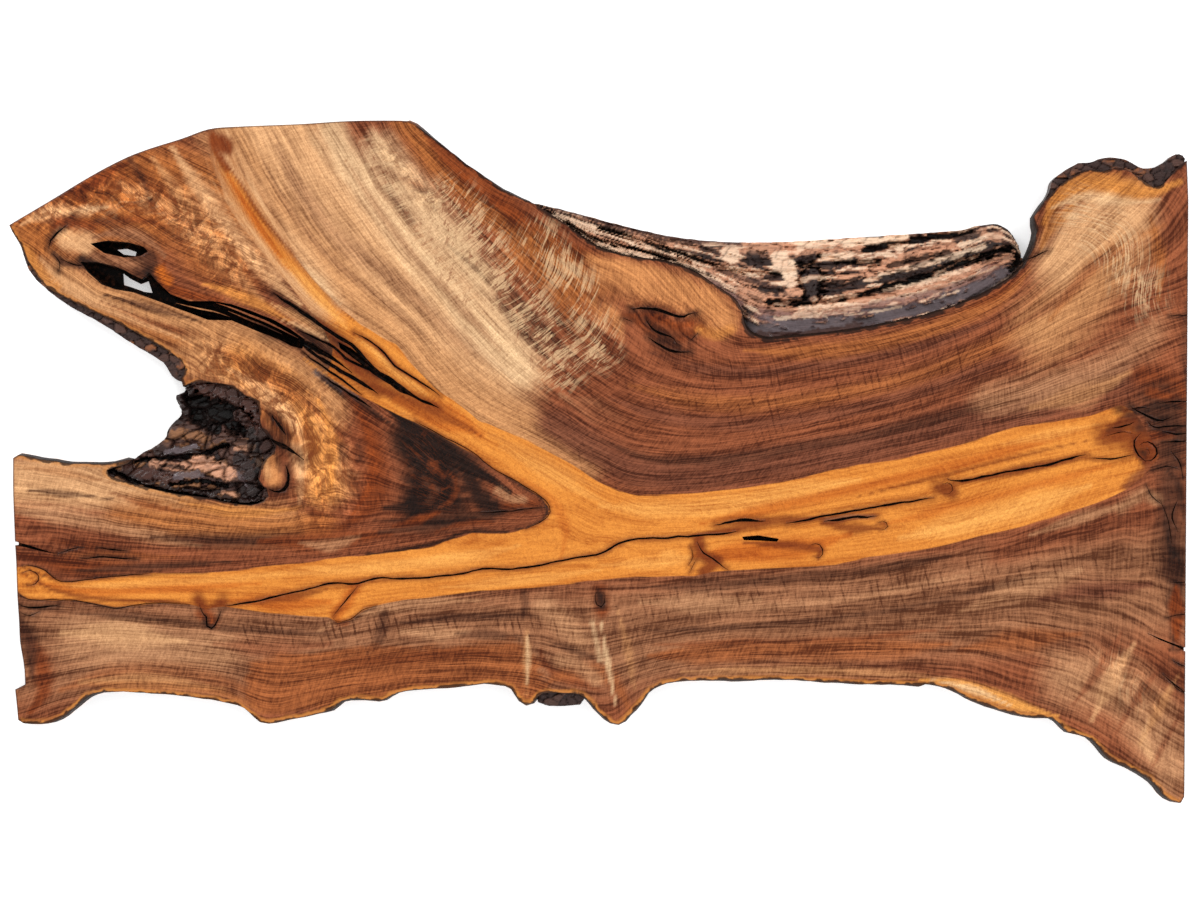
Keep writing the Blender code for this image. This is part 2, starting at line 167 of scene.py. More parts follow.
# The pale sapwood: a streak down from the top edge, and the wide band from the left end to the right.
SAPWOOD = [
    (201, 128), (206, 150), (214, 178), (228, 206), (246, 232), (268, 258), (290, 284), (306, 306),
    (324, 330), (333, 350), (330, 364), (327, 376), (357, 395), (386, 409), (415, 422), (443, 437),
    (472, 453), (487, 464.5), (501, 474), (520, 484), (541, 497), (549, 507), (549, 514), (541, 521),
    (526, 529), (501, 534), (472, 533), (453, 539), (434, 546), (399, 552), (371, 554.5), (338, 557.5),
    (300, 563), (240, 570), (200, 573), (160, 572.5), (105, 577), (65, 582.5), (52, 577), (45, 570),
    (28, 565.5), (8, 568), (8, 590), (18, 593), (27, 599), (55, 600), (75, 600), (95, 604), (115, 608),
    (140, 605), (160, 603), (190, 604), (205, 610), (222, 607), (260, 612), (300, 616.5), (328, 616.5),
    (338, 623), (351, 620), (363, 611), (376, 606), (405, 600), (449, 595.5), (482, 591), (530, 588),
    (568, 584), (600, 580), (638, 576.5), (694, 576.5), (715, 571.5), (762, 568), (810, 566), (835, 565),
    (868, 557.5), (900, 553), (938, 546), (976, 537), (1015, 528.5), (1053, 517), (1082, 507.5),
    (1105, 500), (1126, 490), (1146, 474), (1160, 456), (1150, 436), (1136, 414), (1120, 404),
    (1091, 415.5), (1062, 420.5), (1015, 427), (976, 440.5), (938, 450), (900, 459), (858, 465.5),
    (830, 471), (782, 482.5), (753, 486.5), (696, 493), (657, 495.5), (638, 495), (619, 491), (600, 482.5),
    (568, 462.5), (530, 441.5), (491, 424.5), (478, 420.5), (453, 399.5), (434, 388), (418, 371),
    (396, 345), (361, 325), (338, 306), (316, 280), (290, 246), (268, 210), (250, 182), (236, 158),
    (228, 128),
]

# How the grain runs: guide lines across each zone, from 0 at one side of the zone to 1 at the other.
UPPER_GRAIN = (
    (0.0, [(205, 126), (229, 176), (254, 215), (300, 276), (338, 306), (396, 344), (434, 388), (478, 420),
           (568, 463), (619, 491), (657, 495), (753, 486), (858, 465), (976, 440), (1091, 416),
           (1190, 385)]),
    (0.25, [(285, 120), (330, 200), (400, 290), (470, 370), (540, 420), (600, 455), (650, 470), (720, 465),
            (800, 450), (900, 425), (1000, 400), (1100, 365), (1190, 330)]),
    (0.5, [(345, 118), (400, 210), (460, 280), (520, 345), (580, 395), (640, 425), (720, 430), (820, 415),
           (920, 390), (1020, 350), (1110, 310), (1190, 280)]),
    (0.75, [(390, 118), (440, 190), (500, 250), (560, 310), (610, 355), (670, 385), (740, 390), (830, 375),
            (920, 355), (1000, 320), (1060, 280), (1110, 240), (1150, 200), (1172, 165)]),
    (1.0, [(413, 123), (472, 168), (535, 204), (600, 248), (650, 275), (690, 320), (735, 350), (790, 345),
           (905, 322), (989, 292), (1026, 262), (1045, 215), (1080, 175), (1110, 158)]),
)
LOWER_GRAIN = (
    (0.0, [(12, 600), (140, 607), (220, 612), (330, 620), (376, 606), (450, 596), (568, 584), (694, 576),
           (810, 566), (900, 553), (1015, 528), (1104, 500), (1190, 470)]),
    (0.5, [(12, 660), (100, 648), (200, 652), (270, 664), (350, 658), (450, 645), (530, 648), (600, 660),
           (640, 645), (750, 632), (870, 625), (960, 620), (1040, 622), (1110, 640), (1190, 690)]),
    (1.0, [(12, 722), (75, 704), (134, 692), (235, 704), (268, 724), (342, 701), (405, 691), (510, 690),
           (540, 700), (600, 714), (623, 723), (650, 691), (734, 680), (849, 684), (944, 687), (1022, 716),
           (1068, 732), (1116, 762), (1190, 806)]),
)
FORK_GRAIN = (
    (0.0, [(40, 205), (95, 240), (150, 272), (230, 300), (304, 338), (386, 405), (487, 462), (545, 505)]),
    (0.25, [(24, 238), (90, 290), (150, 312), (220, 345), (290, 385), (350, 430), (450, 480), (546, 510)]),
    (0.45, [(40, 284), (101, 314), (163, 347), (215, 366), (268, 398), (300, 440), (350, 475), (430, 497),
            (547, 512)]),
    (0.55, [(12, 458), (67, 466), (130, 487), (200, 503), (262, 512), (320, 508), (430, 510), (548, 514)]),
    (0.75, [(12, 505), (80, 512), (160, 525), (260, 533), (340, 530), (430, 522), (548, 515)]),
    (1.0, [(12, 568), (105, 577), (200, 573), (300, 563), (371, 554), (453, 539), (501, 534), (548, 517)]),
)
SAP_GRAIN = (
    (0.0, [(215, 120), (245, 180), (300, 262), (338, 306), (396, 344), (434, 388), (478, 420), (568, 463),
           (619, 491), (657, 495), (753, 486), (858, 465), (976, 440), (1091, 416), (1170, 395)]),
    (0.35, [(320, 330), (400, 372), (450, 410), (500, 440), (560, 478), (620, 507), (700, 512), (800, 500),
            (900, 480), (1000, 458), (1150, 428)]),
    (0.6, [(327, 372), (386, 405), (443, 433), (501, 470), (560, 512), (620, 530), (720, 528), (850, 508),
           (934, 497), (1043, 466), (1165, 446)]),
    (0.7, [(12, 570), (105, 579), (200, 576), (300, 566), (371, 557), (453, 542), (540, 525), (600, 545)]),
    (0.82, [(12, 585), (200, 592), (300, 591), (440, 576), (568, 561), (650, 552), (760, 545), (900, 525)]),
    (1.0, [(12, 600), (140, 607), (220, 612), (330, 620), (376, 606), (450, 596), (568, 584), (694, 576),
           (810, 566), (900, 553), (1015, 528), (1104, 500), (1160, 480)]),
)

# Cracks: width in plan units, depth in millimetres, and the line. Those in one set don't cross.
CRACKS = (
    (
        (4.5, 10, [(296, 340), (320, 358), (337, 369), (358, 381), (378, 394)]),
        (4.2, 10, [(273, 293), (296, 308), (322, 326), (336, 335), (352, 345), (364, 358), (379, 373),
                   (391, 380), (417, 398), (439, 408)]),
        (2.4, 8, [(225, 606), (260, 600), (300, 591), (329, 584), (357, 583.5), (375, 578.5), (407, 578.5),
                  (440, 576.5), (463, 572.7), (482, 569), (510, 569), (539, 566), (568, 559), (600, 553.5),
                  (619, 543), (638, 539), (667, 538), (696, 535.4), (724, 533.5), (738, 531)]),
        (2.6, 8, [(786, 523.5), (810, 519), (849, 511.5), (866, 508.5), (900, 502.5), (934, 498)]),
        (2.8, 8, [(947, 479), (957, 481), (984, 477), (1000, 473), (1015, 470), (1043, 465.5), (1070, 459),
                  (1086, 454.5)]),
        (2.6, 8, [(1091, 458), (1108, 459.5), (1122, 458), (1134, 454.5)]),
        (3.6, 8, [(631, 309), (641, 308), (655, 309.5), (668, 313), (683, 317), (690, 314), (698, 312.5)]),
        (3.0, 7, [(646, 320), (652, 328), (660, 333), (672, 338), (677, 344)]),
        (2.2, 7, [(96, 548), (110, 549), (128, 551)]),
        (1.8, 7, [(80, 558), (110, 557), (139, 559.5)]),
        (2.8, 7, [(18, 604), (30, 607), (44, 607.5), (60, 605)]),
        (1.8, 6, [(1168, 316), (1178, 315.5), (1192, 316)]),
        (2.2, 7, [(1158, 404), (1175, 401.5), (1192, 401)]),
        (2.4, 7, [(1147, 420.5), (1155, 427), (1170, 425.5), (1192, 426)]),
        (4.0, 9, [(1112, 428), (1123, 426), (1134, 422)]),
        (2.2, 7, [(1160, 442.5), (1172, 441.5), (1192, 440.5)]),
        (1.8, 5, [(1169, 582), (1192, 582)]),
        (2.0, 5, [(1166, 618), (1174.5, 616), (1192, 613)]),
        (1.8, 5, [(1172, 660), (1180, 664), (1192, 668)]),
        (1.8, 5, [(1162, 674), (1176, 686), (1192, 697)]),
        (3.0, 8, [(1025, 260), (1036, 255.5), (1048, 250.5)]),
        (6.5, 8, [(263, 432), (272, 440), (287, 448), (304, 460)]),
        (4.4, 10, [(269, 489), (278, 492), (286, 487.5), (288.5, 475), (285.5, 465)]),
        (2.0, 6, [(199, 604), (202, 612), (207, 618), (206, 625), (212, 628), (217, 621), (221, 611)]),
        (1.8, 6, [(358, 586), (346, 600), (333, 616)]),
        (2.4, 6, [(697, 541), (703, 553), (715, 560), (728, 570)]),
        (1.7, 5, [(598, 590), (595, 597), (597, 605), (602, 607), (605, 601), (604, 593)]),
        (1.8, 5, [(811, 545), (818, 543), (823, 550), (821, 557), (815, 557)]),
        (1.6, 5, [(942, 485), (948, 483), (953, 488), (951, 494), (944, 494)]),
        (2.2, 6, [(1139, 446), (1146, 442), (1155, 446), (1157, 454), (1150, 461), (1141, 459)]),
        (1.5, 5, [(1144, 449), (1150, 451), (1148, 457)]),
        (7.5, 6, [(272, 416), (276, 421), (281, 428), (286, 435)]),
        (2.6, 6, [(68, 224), (58, 232), (50, 241), (49, 249)]),
        (2.6, 6, [(53, 254), (60, 263), (58, 272)]),
        (1.5, 5, [(478, 513), (500, 512), (525, 509), (547, 507)]),
    ),
    (
        (2.4, 7, [(353, 332), (372, 342), (384, 353), (395, 366), (420, 382), (440, 396)]),
        (3.0, 8, [(323, 376), (350, 394), (372, 408)]),
        (3.4, 8, [(648, 337), (660, 345), (672, 350.5), (691, 352)]),
        (3.0, 7, [(623, 318), (632, 321.5)]),
        (2.2, 6, [(690, 341), (698, 333)]),
        (1.8, 7, [(57, 554.5), (70, 550), (84, 547)]),
        (3.6, 8, [(715, 525), (740, 520.5), (766, 521)]),
        (3.2, 8, [(824, 521.5), (850, 518), (877, 516)]),
        (1.5, 5, [(878, 523), (884, 521), (888, 525), (885, 529), (880, 529)]),
        (2.0, 5, [(20, 612), (30, 615), (40, 611)]),
        (1.6, 5, [(1176, 650), (1186, 648)]),
        (1.6, 5, [(696, 560), (690, 572)]),
        (1.8, 6, [(60, 259), (75, 265), (88, 264)]),
    ),
    (
        (3.2, 9, [(298, 330), (330, 345), (350, 361), (386, 377)]),
        (2.6, 8, [(302, 352), (322, 366), (345, 382), (362, 395)]),
        # Thin dark lines along the border of the sapwood, and round the knots in it.
        (1.4, 4, [(415, 421), (443, 436), (472, 452), (487, 464), (501, 473.5), (520, 483.5), (541, 496.5),
                  (549, 506), (549.5, 514), (541, 521.5), (526, 529)]),
        (1.3, 4, [(22, 567), (32, 565.5), (45, 570), (52, 577), (65, 582), (105, 577), (150, 573)]),
        (1.3, 4, [(18, 593), (27, 599), (55, 600), (75, 600), (95, 604), (115, 608), (140, 605), (160, 603),
                  (188, 604)]),
        (1.5, 4, [(333, 618), (338, 622.5), (351, 619.5), (363, 610.5), (376, 605.5)]),
        (1.4, 4, [(22, 573), (28, 570), (36, 573), (39, 579), (34, 585), (26, 585)]),
        (1.3, 4, [(690, 546), (693, 556), (688, 566)]),
        (1.6, 5, [(1124, 411), (1140, 407), (1152, 409)]),
        (1.4, 4, [(1104, 436), (1120, 432), (1134, 434)]),
        (1.4, 4, [(1152, 470), (1166, 466), (1180, 470)]),
        (1.4, 4, [(1160, 500), (1168, 520), (1172, 545)]),
        (1.6, 4, [(1170, 680), (1178, 690), (1190, 694)]),
    ),
    (
        (8.0, 16, [(268, 333), (290, 340), (303, 343), (318, 350), (336, 361), (352, 373)]),
        (6.0, 14, [(372, 369), (384, 377), (392, 384), (404, 392), (418, 399)]),
        # Broken wood round the knot at the right end.
        (3.0, 7, [(1131, 407), (1146, 415), (1160, 420), (1172, 417)]),
        (2.8, 6, [(1141, 433), (1134, 442), (1138, 454), (1146, 462)]),
        (2.6, 6, [(1161, 431), (1176, 434), (1192, 432)]),
        (1.8, 5, [(1146, 484), (1152, 497), (1164, 506)]),
        (2.2, 5, [(1171, 451), (1180, 463), (1183, 480)]),
        (2.0, 5, [(1178, 500), (1172, 516), (1178, 532)]),
    ),
)

# The dark floors of the two splits that open at the slab's ends, darkened like the crack walls with painted
# shade.
SPLIT_FLOORS = (
    [(1185, 645.5), (1172, 640.5), (1147, 630.5), (1145.5, 634), (1160, 642), (1176, 648.5), (1185, 654)],
    [(17.5, 540.5), (30, 543.5), (58, 553), (57, 556), (40, 553), (22, 548.5), (17.5, 547.5)],
)
SPLIT_FLOOR = 0.036

# Splinters that stand in the long void: half width, line.
SPLINTERS = (
    (1.0, [(216, 303), (232, 308), (248, 314.5), (268, 322.5), (298, 338)]),
    (0.8, [(228, 311), (246, 318.5), (262, 325), (282, 334)]),
    (0.7, [(176, 303), (196, 308), (216, 312), (230, 317)]),
)

# Brush strokes on the dark wood: colour, half width, softness, strength, line.
WOOD_STROKES = (
    # The upper lobe, from the sapwood streak out to its live edge.
    ("pale_tan", 75, 0.7, 1.0, [(260, 110), (300, 190), (370, 270), (440, 330), (480, 370)]),
    ("tan", 30, 0.9, 0.9, [(330, 330), (390, 370), (460, 410), (520, 440)]),
    ("tan", 26, 0.8, 0.8, [(228, 134), (262, 190), (310, 245), (370, 310), (440, 372), (520, 425),
                           (590, 462)]),
    ("grey_brown", 15, 0.9, 0.62, [(276, 146), (306, 196), (342, 240), (400, 284), (452, 330), (512, 376)]),
    ("grey_brown", 6, 0.9, 0.5, [(262, 160), (292, 212), (330, 258), (388, 304), (440, 350)]),
    ("pale_tan", 14, 0.9, 0.8, [(236, 150), (275, 215), (318, 272), (350, 310)]),
    ("cream", 9, 0.9, 0.6, [(294, 256), (318, 282), (340, 304)]),
    ("cream", 22, 0.9, 0.75, [(330, 130), (365, 190), (415, 255), (470, 320), (520, 372)]),
    ("cream", 26, 0.9, 0.7, [(380, 150), (425, 210), (480, 280), (530, 345)]),
    ("grey_tan", 7, 0.9, 0.7, [(345, 160), (375, 205), (415, 258), (455, 300), (500, 350)]),
    ("deep_brown", 6, 0.9, 0.7, [(388, 188), (404, 212), (412, 222)]),
    ("deep_brown", 5, 0.9, 0.65, [(416, 184), (430, 198), (437, 208)]),
    ("grey_brown", 8, 0.95, 0.6, [(378, 168), (398, 178), (420, 186)]),
    ("deep_brown", 5, 0.95, 0.6, [(440, 238), (458, 254), (476, 270), (494, 288)]),
    ("warm_brown", 20, 0.8, 0.9, [(400, 112), (434, 158), (472, 192), (520, 232), (570, 268), (612, 300)]),
    ("mahogany", 15, 0.75, 0.95, [(416, 118), (450, 158), (492, 194), (535, 228), (585, 258), (640, 282)]),
    ("rust", 7, 0.8, 0.7, [(440, 158), (480, 190), (530, 226), (572, 250)]),
    ("warm_brown", 36, 0.9, 0.9, [(530, 255), (570, 290), (600, 330)]),
    ("heart", 30, 0.9, 0.85, [(515, 290), (545, 335), (590, 375), (640, 395)]),
    ("deep_brown", 13, 0.9, 0.8, [(505, 278), (528, 312), (560, 348), (592, 372)]),
    ("deep_brown", 8, 0.9, 0.6, [(540, 290), (560, 322), (590, 350)]),
    ("deep_brown", 9, 0.9, 0.7, [(496, 296), (522, 330), (550, 360)]),
    ("grey_tan", 13, 0.9, 0.7, [(560, 395), (600, 412), (640, 428)]),
    # The wide heartwood under the saddle, band by band, and out to the right end.
    ("heart", 84, 0.55, 1.0, [(645, 345), (680, 400), (750, 415), (850, 400), (960, 368), (1030, 330)]),
    ("purple_brown", 26, 0.8, 0.95, [(555, 425), (615, 462), (665, 476), (740, 468), (840, 450), (960, 422),
                                     (1060, 396), (1130, 372)]),
    ("deep_brown", 7, 0.8, 0.6, [(600, 440), (650, 458), (720, 460), (800, 448), (900, 428), (1000, 404)]),
    ("heart", 12, 0.8, 0.8, [(560, 390), (620, 425), (700, 440), (800, 430), (920, 404), (1040, 364)]),
    ("warm_brown", 12, 0.9, 0.5, [(630, 385), (700, 402), (780, 402), (880, 385), (980, 352), (1040, 318)]),
    ("purple_brown", 9, 0.8, 0.7, [(610, 398), (660, 416), (740, 424), (840, 412), (940, 386), (1030, 350)]),
    ("purple_brown", 8, 0.8, 0.8, [(650, 352), (700, 368), (760, 372), (840, 362), (920, 346), (990, 322)]),
    ("warm_brown", 11, 0.8, 0.7, [(745, 350), (800, 352), (870, 344), (940, 326), (1000, 298), (1030, 270)]),
    ("rust", 6, 0.8, 0.55, [(960, 312), (1000, 292), (1028, 266)]),
    ("tan", 46, 0.9, 0.85, [(1045, 330), (1085, 290), (1120, 240)]),
    ("grey_tan", 24, 0.95, 0.6, [(990, 400), (1060, 384), (1120, 358), (1160, 330)]),
    ("tan", 15, 0.95, 0.7, [(1030, 408), (1090, 392), (1130, 372)]),
    ("pale_tan", 38, 0.9, 0.95, [(1062, 262), (1095, 225), (1130, 215)]),
    ("honey", 17, 0.8, 0.95, [(1044, 224), (1060, 196), (1100, 184), (1140, 194), (1180, 182)]),
    ("honey", 9, 0.8, 0.6, [(1040, 250), (1052, 226), (1075, 204)]),
    ("cream", 9, 0.9, 0.6, [(1052, 208), (1085, 196), (1125, 202), (1160, 200)]),
    ("warm_brown", 12, 0.9, 0.6, [(1050, 320), (1085, 276), (1120, 246), (1165, 225)]),
    ("heart", 8, 0.9, 0.6, [(1010, 330), (1060, 300), (1100, 262), (1150, 240)]),
    ("heart", 22, 0.9, 0.7, [(1172, 215), (1176, 280), (1174, 350)]),
    ("warm_brown", 10, 0.9, 0.8, [(1150, 215), (1160, 260), (1158, 300)]),
    # Warm wood and the knot left of the saddle's lip.
    ("copper", 24, 0.9, 0.9, [(600, 272), (650, 286), (700, 300), (722, 318)]),
    ("copper", 14, 0.9, 0.7, [(590, 300), (610, 318), (622, 340)]),
    ("copper", 13, 0.8, 0.9, [(588, 260), (630, 268), (668, 278), (700, 292)]),
    ("mahogany", 17, 0.75, 0.95, [(624, 316), (650, 322), (680, 336), (702, 328)]),
    ("black_brown", 5, 0.8, 0.7, [(660, 340), (672, 342), (680, 346)]),
    ("rust", 6, 0.8, 0.8, [(655, 316), (672, 326), (690, 324)]),
    ("deep_brown", 9, 0.9, 0.5, [(640, 316), (662, 328), (690, 338)]),
    ("honey", 8, 0.9, 0.6, [(700, 330), (718, 336), (730, 330)]),
    ("heart", 8, 0.9, 0.7, [(600, 300), (612, 330), (640, 356), (690, 364)]),
    # The upper limb, left of the streak, with its feathered figure and the smooth knot over the void.
    ("warm_brown", 62, 0.6, 1.0, [(30, 225), (110, 200), (190, 200), (230, 235)]),
    ("mahogany", 20, 0.9, 0.45, [(52, 208), (100, 182), (150, 186), (190, 225)]),
    ("tan", 17, 0.9, 0.6, [(140, 186), (190, 228), (232, 272), (262, 300)]),
    ("tan", 40, 0.7, 0.9, [(60, 290), (140, 320), (230, 345), (320, 400)]),
    ("pale_tan", 13, 0.9, 0.95, [(172, 148), (196, 184), (224, 222), (262, 268), (300, 304)]),
    ("tan", 13, 0.9, 0.85, [(152, 158), (176, 190), (206, 232), (240, 268)]),
    ("cream", 6, 0.9, 0.6, [(60, 214), (86, 210), (112, 206)]),
    ("pale_tan", 11, 0.9, 0.8, [(22, 224), (44, 214), (66, 212), (90, 214)]),
    ("mahogany", 10, 0.9, 0.95, [(62, 194), (88, 184), (116, 168), (130, 162)]),
    ("deep_brown", 5, 0.9, 0.8, [(130, 160), (142, 178), (150, 200)]),
    ("mahogany", 8, 0.9, 0.8, [(78, 222), (106, 222), (140, 220), (165, 226)]),
    ("deep_brown", 9, 0.9, 0.95, [(72, 218), (62, 228), (52, 238)]),
    ("deep_brown", 5, 0.9, 0.9, [(54, 254), (60, 262), (78, 266), (96, 264)]),
    ("tan", 6, 0.9, 0.6, [(120, 184), (138, 194), (148, 210)]),
    ("mahogany", 7, 0.9, 0.45, [(150, 206), (176, 216), (200, 232), (222, 250)]),
    ("mahogany", 10, 0.9, 0.95, [(58, 222), (74, 225), (92, 229)]),
    ("honey", 7, 0.9, 0.7, [(26, 250), (40, 272), (58, 286)]),
    ("pale_tan", 9, 0.9, 0.6, [(40, 258), (64, 282), (100, 300), (132, 312)]),
    ("pale_tan", 14, 0.6, 0.95, [(66, 240), (86, 244)]),
    ("grey_brown", 9, 0.7, 0.9, [(92, 238), (120, 232), (148, 240), (165, 256)]),
    ("grey_brown", 10, 0.7, 0.95, [(96, 258), (118, 262), (140, 266)]),
    ("deep_brown", 10, 0.7, 0.95, [(136, 254), (150, 258), (152, 268), (140, 272)]),
    ("black_brown", 7, 0.7, 0.9, [(148, 272), (158, 284), (172, 292)]),
    ("mahogany", 9, 0.7, 0.95, [(164, 262), (160, 274), (172, 290), (198, 298)]),
    ("deep_amber", 7, 0.7, 0.95, [(160, 272), (168, 280)]),
    ("rust", 7, 0.7, 0.9, [(178, 292), (200, 298), (218, 302)]),
    ("honey", 8, 0.8, 0.8, [(204, 284), (230, 292), (262, 306), (290, 322)]),
    ("mahogany", 6, 0.7, 0.95, [(230, 316), (262, 326), (300, 342)]),
    ("black_brown", 7, 0.7, 0.95, [(82, 258), (96, 266), (120, 276)]),
    ("deep_brown", 6, 0.8, 0.9, [(100, 294), (130, 302), (165, 312), (200, 322)]),
    ("black_brown", 5, 0.7, 0.9, [(240, 322), (270, 330), (305, 344)]),
    ("deep_brown", 17, 0.7, 0.9, [(296, 326), (330, 350), (368, 384)]),
    ("black_brown", 8, 0.7, 0.9, [(300, 312), (330, 334), (350, 350), (374, 372)]),
    ("tan", 5, 0.5, 0.95, [(272, 304), (300, 318), (326, 332)]),
    ("pale_tan", 3, 0.5, 0.95, [(282, 320), (308, 330), (334, 343)]),
    ("copper", 4, 0.5, 0.95, [(306, 346), (330, 358), (352, 372), (378, 390)]),
    ("honey", 2.5, 0.5, 0.9, [(300, 356), (322, 371), (350, 389)]),
    ("black_brown", 7, 0.6, 0.95, [(322, 380), (346, 396), (372, 412), (392, 424)]),
    ("blue_grey", 4, 0.6, 0.9, [(316, 372), (336, 386), (356, 398)]),
    # The tongue, and the mottled burl round the pocket.
    ("warm_brown", 12, 0.9, 0.8, [(60, 296), (110, 318), (165, 338), (215, 356)]),
    ("pale_tan", 5, 0.9, 0.6, [(50, 278), (90, 304), (140, 322), (190, 342)]),
    ("mahogany", 7, 0.9, 0.6, [(146, 321), (190, 333), (234, 346)]),
    ("mahogany", 5, 0.9, 0.7, [(100, 300), (150, 322), (210, 342), (260, 356)]),
    ("tan", 34, 0.8, 0.95, [(205, 356), (270, 385), (310, 430), (325, 480)]),
    ("honey", 24, 0.9, 0.7, [(240, 362), (290, 395), (316, 440), (322, 490)]),
    ("pale_tan", 12, 0.9, 0.75, [(225, 368), (262, 388), (290, 420), (300, 470), (300, 505)]),
    ("mahogany", 15, 0.9, 0.7, [(215, 350), (262, 372), (300, 398), (330, 425)]),
    ("warm_brown", 9, 0.9, 0.8, [(262, 414), (284, 428), (296, 440)]),
    ("copper", 12, 0.7, 0.95, [(270, 460), (274, 480)]),
    ("tan", 6, 0.8, 0.9, [(266, 462), (268, 476)]),
    ("deep_brown", 4, 0.8, 0.6, [(276, 456), (280, 470)]),
    ("honey", 12, 0.9, 0.7, [(318, 400), (332, 440), (330, 490)]),
    ("mahogany", 17, 0.9, 0.95, [(345, 392), (368, 425), (378, 465), (372, 505), (340, 528)]),
    ("rust", 9, 0.9, 0.8, [(356, 405), (370, 440), (372, 480), (352, 515)]),
    ("deep_brown", 5, 0.8, 0.8, [(340, 446), (342, 458)]),
    ("deep_brown", 5, 0.8, 0.8, [(358, 446), (360, 458)]),
    # The left limb.
    ("pale_tan", 30, 0.7, 1.0, [(10, 478), (100, 488), (170, 500)]),
    ("tan", 24, 0.8, 1.0, [(150, 510), (220, 520), (290, 522)]),
    ("warm_brown", 24, 0.9, 0.85, [(120, 518), (190, 520), (260, 526), (320, 526)]),
    ("honey", 9, 0.9, 0.7, [(180, 502), (240, 512), (300, 508)]),
    ("grey_tan", 12, 0.9, 0.8, [(10, 512), (60, 516), (120, 530), (200, 546)]),
    ("deep_brown", 4, 0.9, 0.85, [(20, 489), (66, 494), (112, 499)]),
    ("warm_brown", 6, 0.9, 0.45, [(14, 466), (60, 472), (110, 482)]),
    ("mahogany", 7, 0.9, 0.7, [(110, 492), (150, 506), (190, 512)]),
    ("deep_brown", 10, 0.9, 0.95, [(150, 537), (220, 541), (285, 540), (345, 543)]),
    ("heart", 12, 0.9, 0.9, [(14, 528), (60, 536), (110, 540), (170, 556), (240, 560), (330, 552)]),
    ("mahogany", 16, 0.9, 0.9, [(260, 542), (320, 540), (390, 534)]),
    ("grey_tan", 8, 0.9, 0.6, [(300, 542), (330, 546), (360, 536)]),
    ("mahogany", 13, 0.8, 0.95, [(14, 552), (40, 560), (90, 568), (150, 566)]),
    ("deep_brown", 5, 0.8, 0.9, [(60, 572), (100, 570), (160, 566), (230, 562)]),
    ("mahogany", 9, 0.9, 0.8, [(50, 540), (100, 548), (150, 556)]),
    ("red_brown", 8, 0.9, 0.7, [(56, 554), (110, 556), (175, 557)]),
    # The black wedge in the crotch, with brown swirls, and its brown tip.
    ("deep_brown", 34, 0.6, 0.98, [(416, 440), (430, 470), (440, 505)]),
    ("black_brown", 33, 0.5, 0.99, [(420, 440), (434, 470), (432, 498)]),
    ("black_brown", 13, 0.6, 0.98, [(383, 405), (420, 434), (470, 466), (510, 492)]),
    ("black_brown", 14, 0.7, 0.95, [(470, 480), (484, 500), (500, 512)]),
    ("black_brown", 12, 0.8, 0.9, [(384, 508), (410, 508), (450, 512)]),
    ("deep_brown", 5, 0.9, 0.8, [(424, 478), (436, 488), (430, 502)]),
    ("mahogany", 4, 0.9, 0.6, [(445, 470), (458, 484), (452, 500), (438, 508)]),
    ("mahogany", 3, 0.9, 0.6, [(430, 462), (444, 476)]),
    ("deep_brown", 14, 0.8, 0.97, [(380, 532), (420, 526), (460, 518), (500, 522)]),
    ("black_brown", 5, 0.9, 0.8, [(372, 520), (410, 520), (450, 522), (490, 514)]),
    ("rust", 5, 0.8, 0.8, [(392, 526), (412, 522), (440, 512)]),
    ("mahogany", 4, 0.8, 0.8, [(430, 534), (455, 526), (480, 522), (510, 524)]),
    ("mahogany", 12, 0.6, 0.9, [(512, 506), (534, 508)]),
    ("heart", 8, 0.7, 0.9, [(500, 522), (524, 520), (538, 514)]),
    ("grey_tan", 5, 0.8, 0.85, [(497, 490), (510, 499), (524, 500)]),
    ("black_brown", 2.5, 0.6, 0.95, [(478, 458), (520, 484), (540, 496), (547, 507), (546, 517), (534, 524)]),
    ("black_brown", 3, 0.7, 0.9, [(350, 556), (400, 550), (440, 542), (466, 532), (510, 531), (534, 525)]),
    # Below the band: grey brown with chatter, and red brown along the live edge.
    ("grey_brown", 66, 0.6, 1.0, [(10, 650), (200, 650), (400, 640), (600, 640), (800, 620), (1000, 600),
                                  (1190, 580)]),
    ("grey_tan", 30, 0.9, 0.85, [(78, 640), (140, 646), (215, 652)]),
    ("pale_tan", 16, 0.9, 0.85, [(62, 633), (120, 635), (186, 642)]),
    ("heart", 16, 0.9, 0.6, [(215, 644), (270, 648), (330, 644)]),
    ("grey_tan", 10, 0.9, 0.9, [(400, 632), (440, 634), (470, 632)]),
    ("grey_tan", 10, 0.9, 0.8, [(320, 630), (360, 612), (420, 603), (480, 600)]),
    ("deep_brown", 5, 0.9, 0.75, [(60, 612), (140, 617), (230, 628), (330, 634)]),
    ("deep_brown", 6, 0.9, 0.8, [(390, 624), (440, 619), (500, 616), (550, 616)]),
    ("deep_brown", 8, 0.9, 0.75, [(456, 634), (490, 634), (520, 638)]),
    ("deep_brown", 8, 0.9, 0.75, [(370, 660), (380, 640), (384, 615)]),
    ("deep_brown", 6, 0.9, 0.7, [(524, 592), (526, 604), (522, 616)]),
    ("red_brown", 14, 0.9, 0.6, [(60, 690), (120, 674), (200, 676), (260, 694)]),
    ("tan", 9, 0.9, 0.75, [(80, 682), (150, 680), (225, 690)]),
    ("red_brown", 27, 0.18, 0.97, [(270, 686), (330, 680), (396, 674), (466, 671), (508, 668), (520, 690)]),
    ("mahogany", 7, 0.9, 0.6, [(300, 668), (380, 660), (460, 654), (512, 656)]),
    ("warm_brown", 8, 0.9, 0.6, [(90, 684), (150, 686), (220, 692), (262, 712)]),
    ("mahogany", 16, 0.8, 0.95, [(20, 628), (38, 655), (44, 690), (30, 712)]),
    ("deep_brown", 15, 0.8, 0.9, [(16, 612), (28, 640), (32, 676)]),
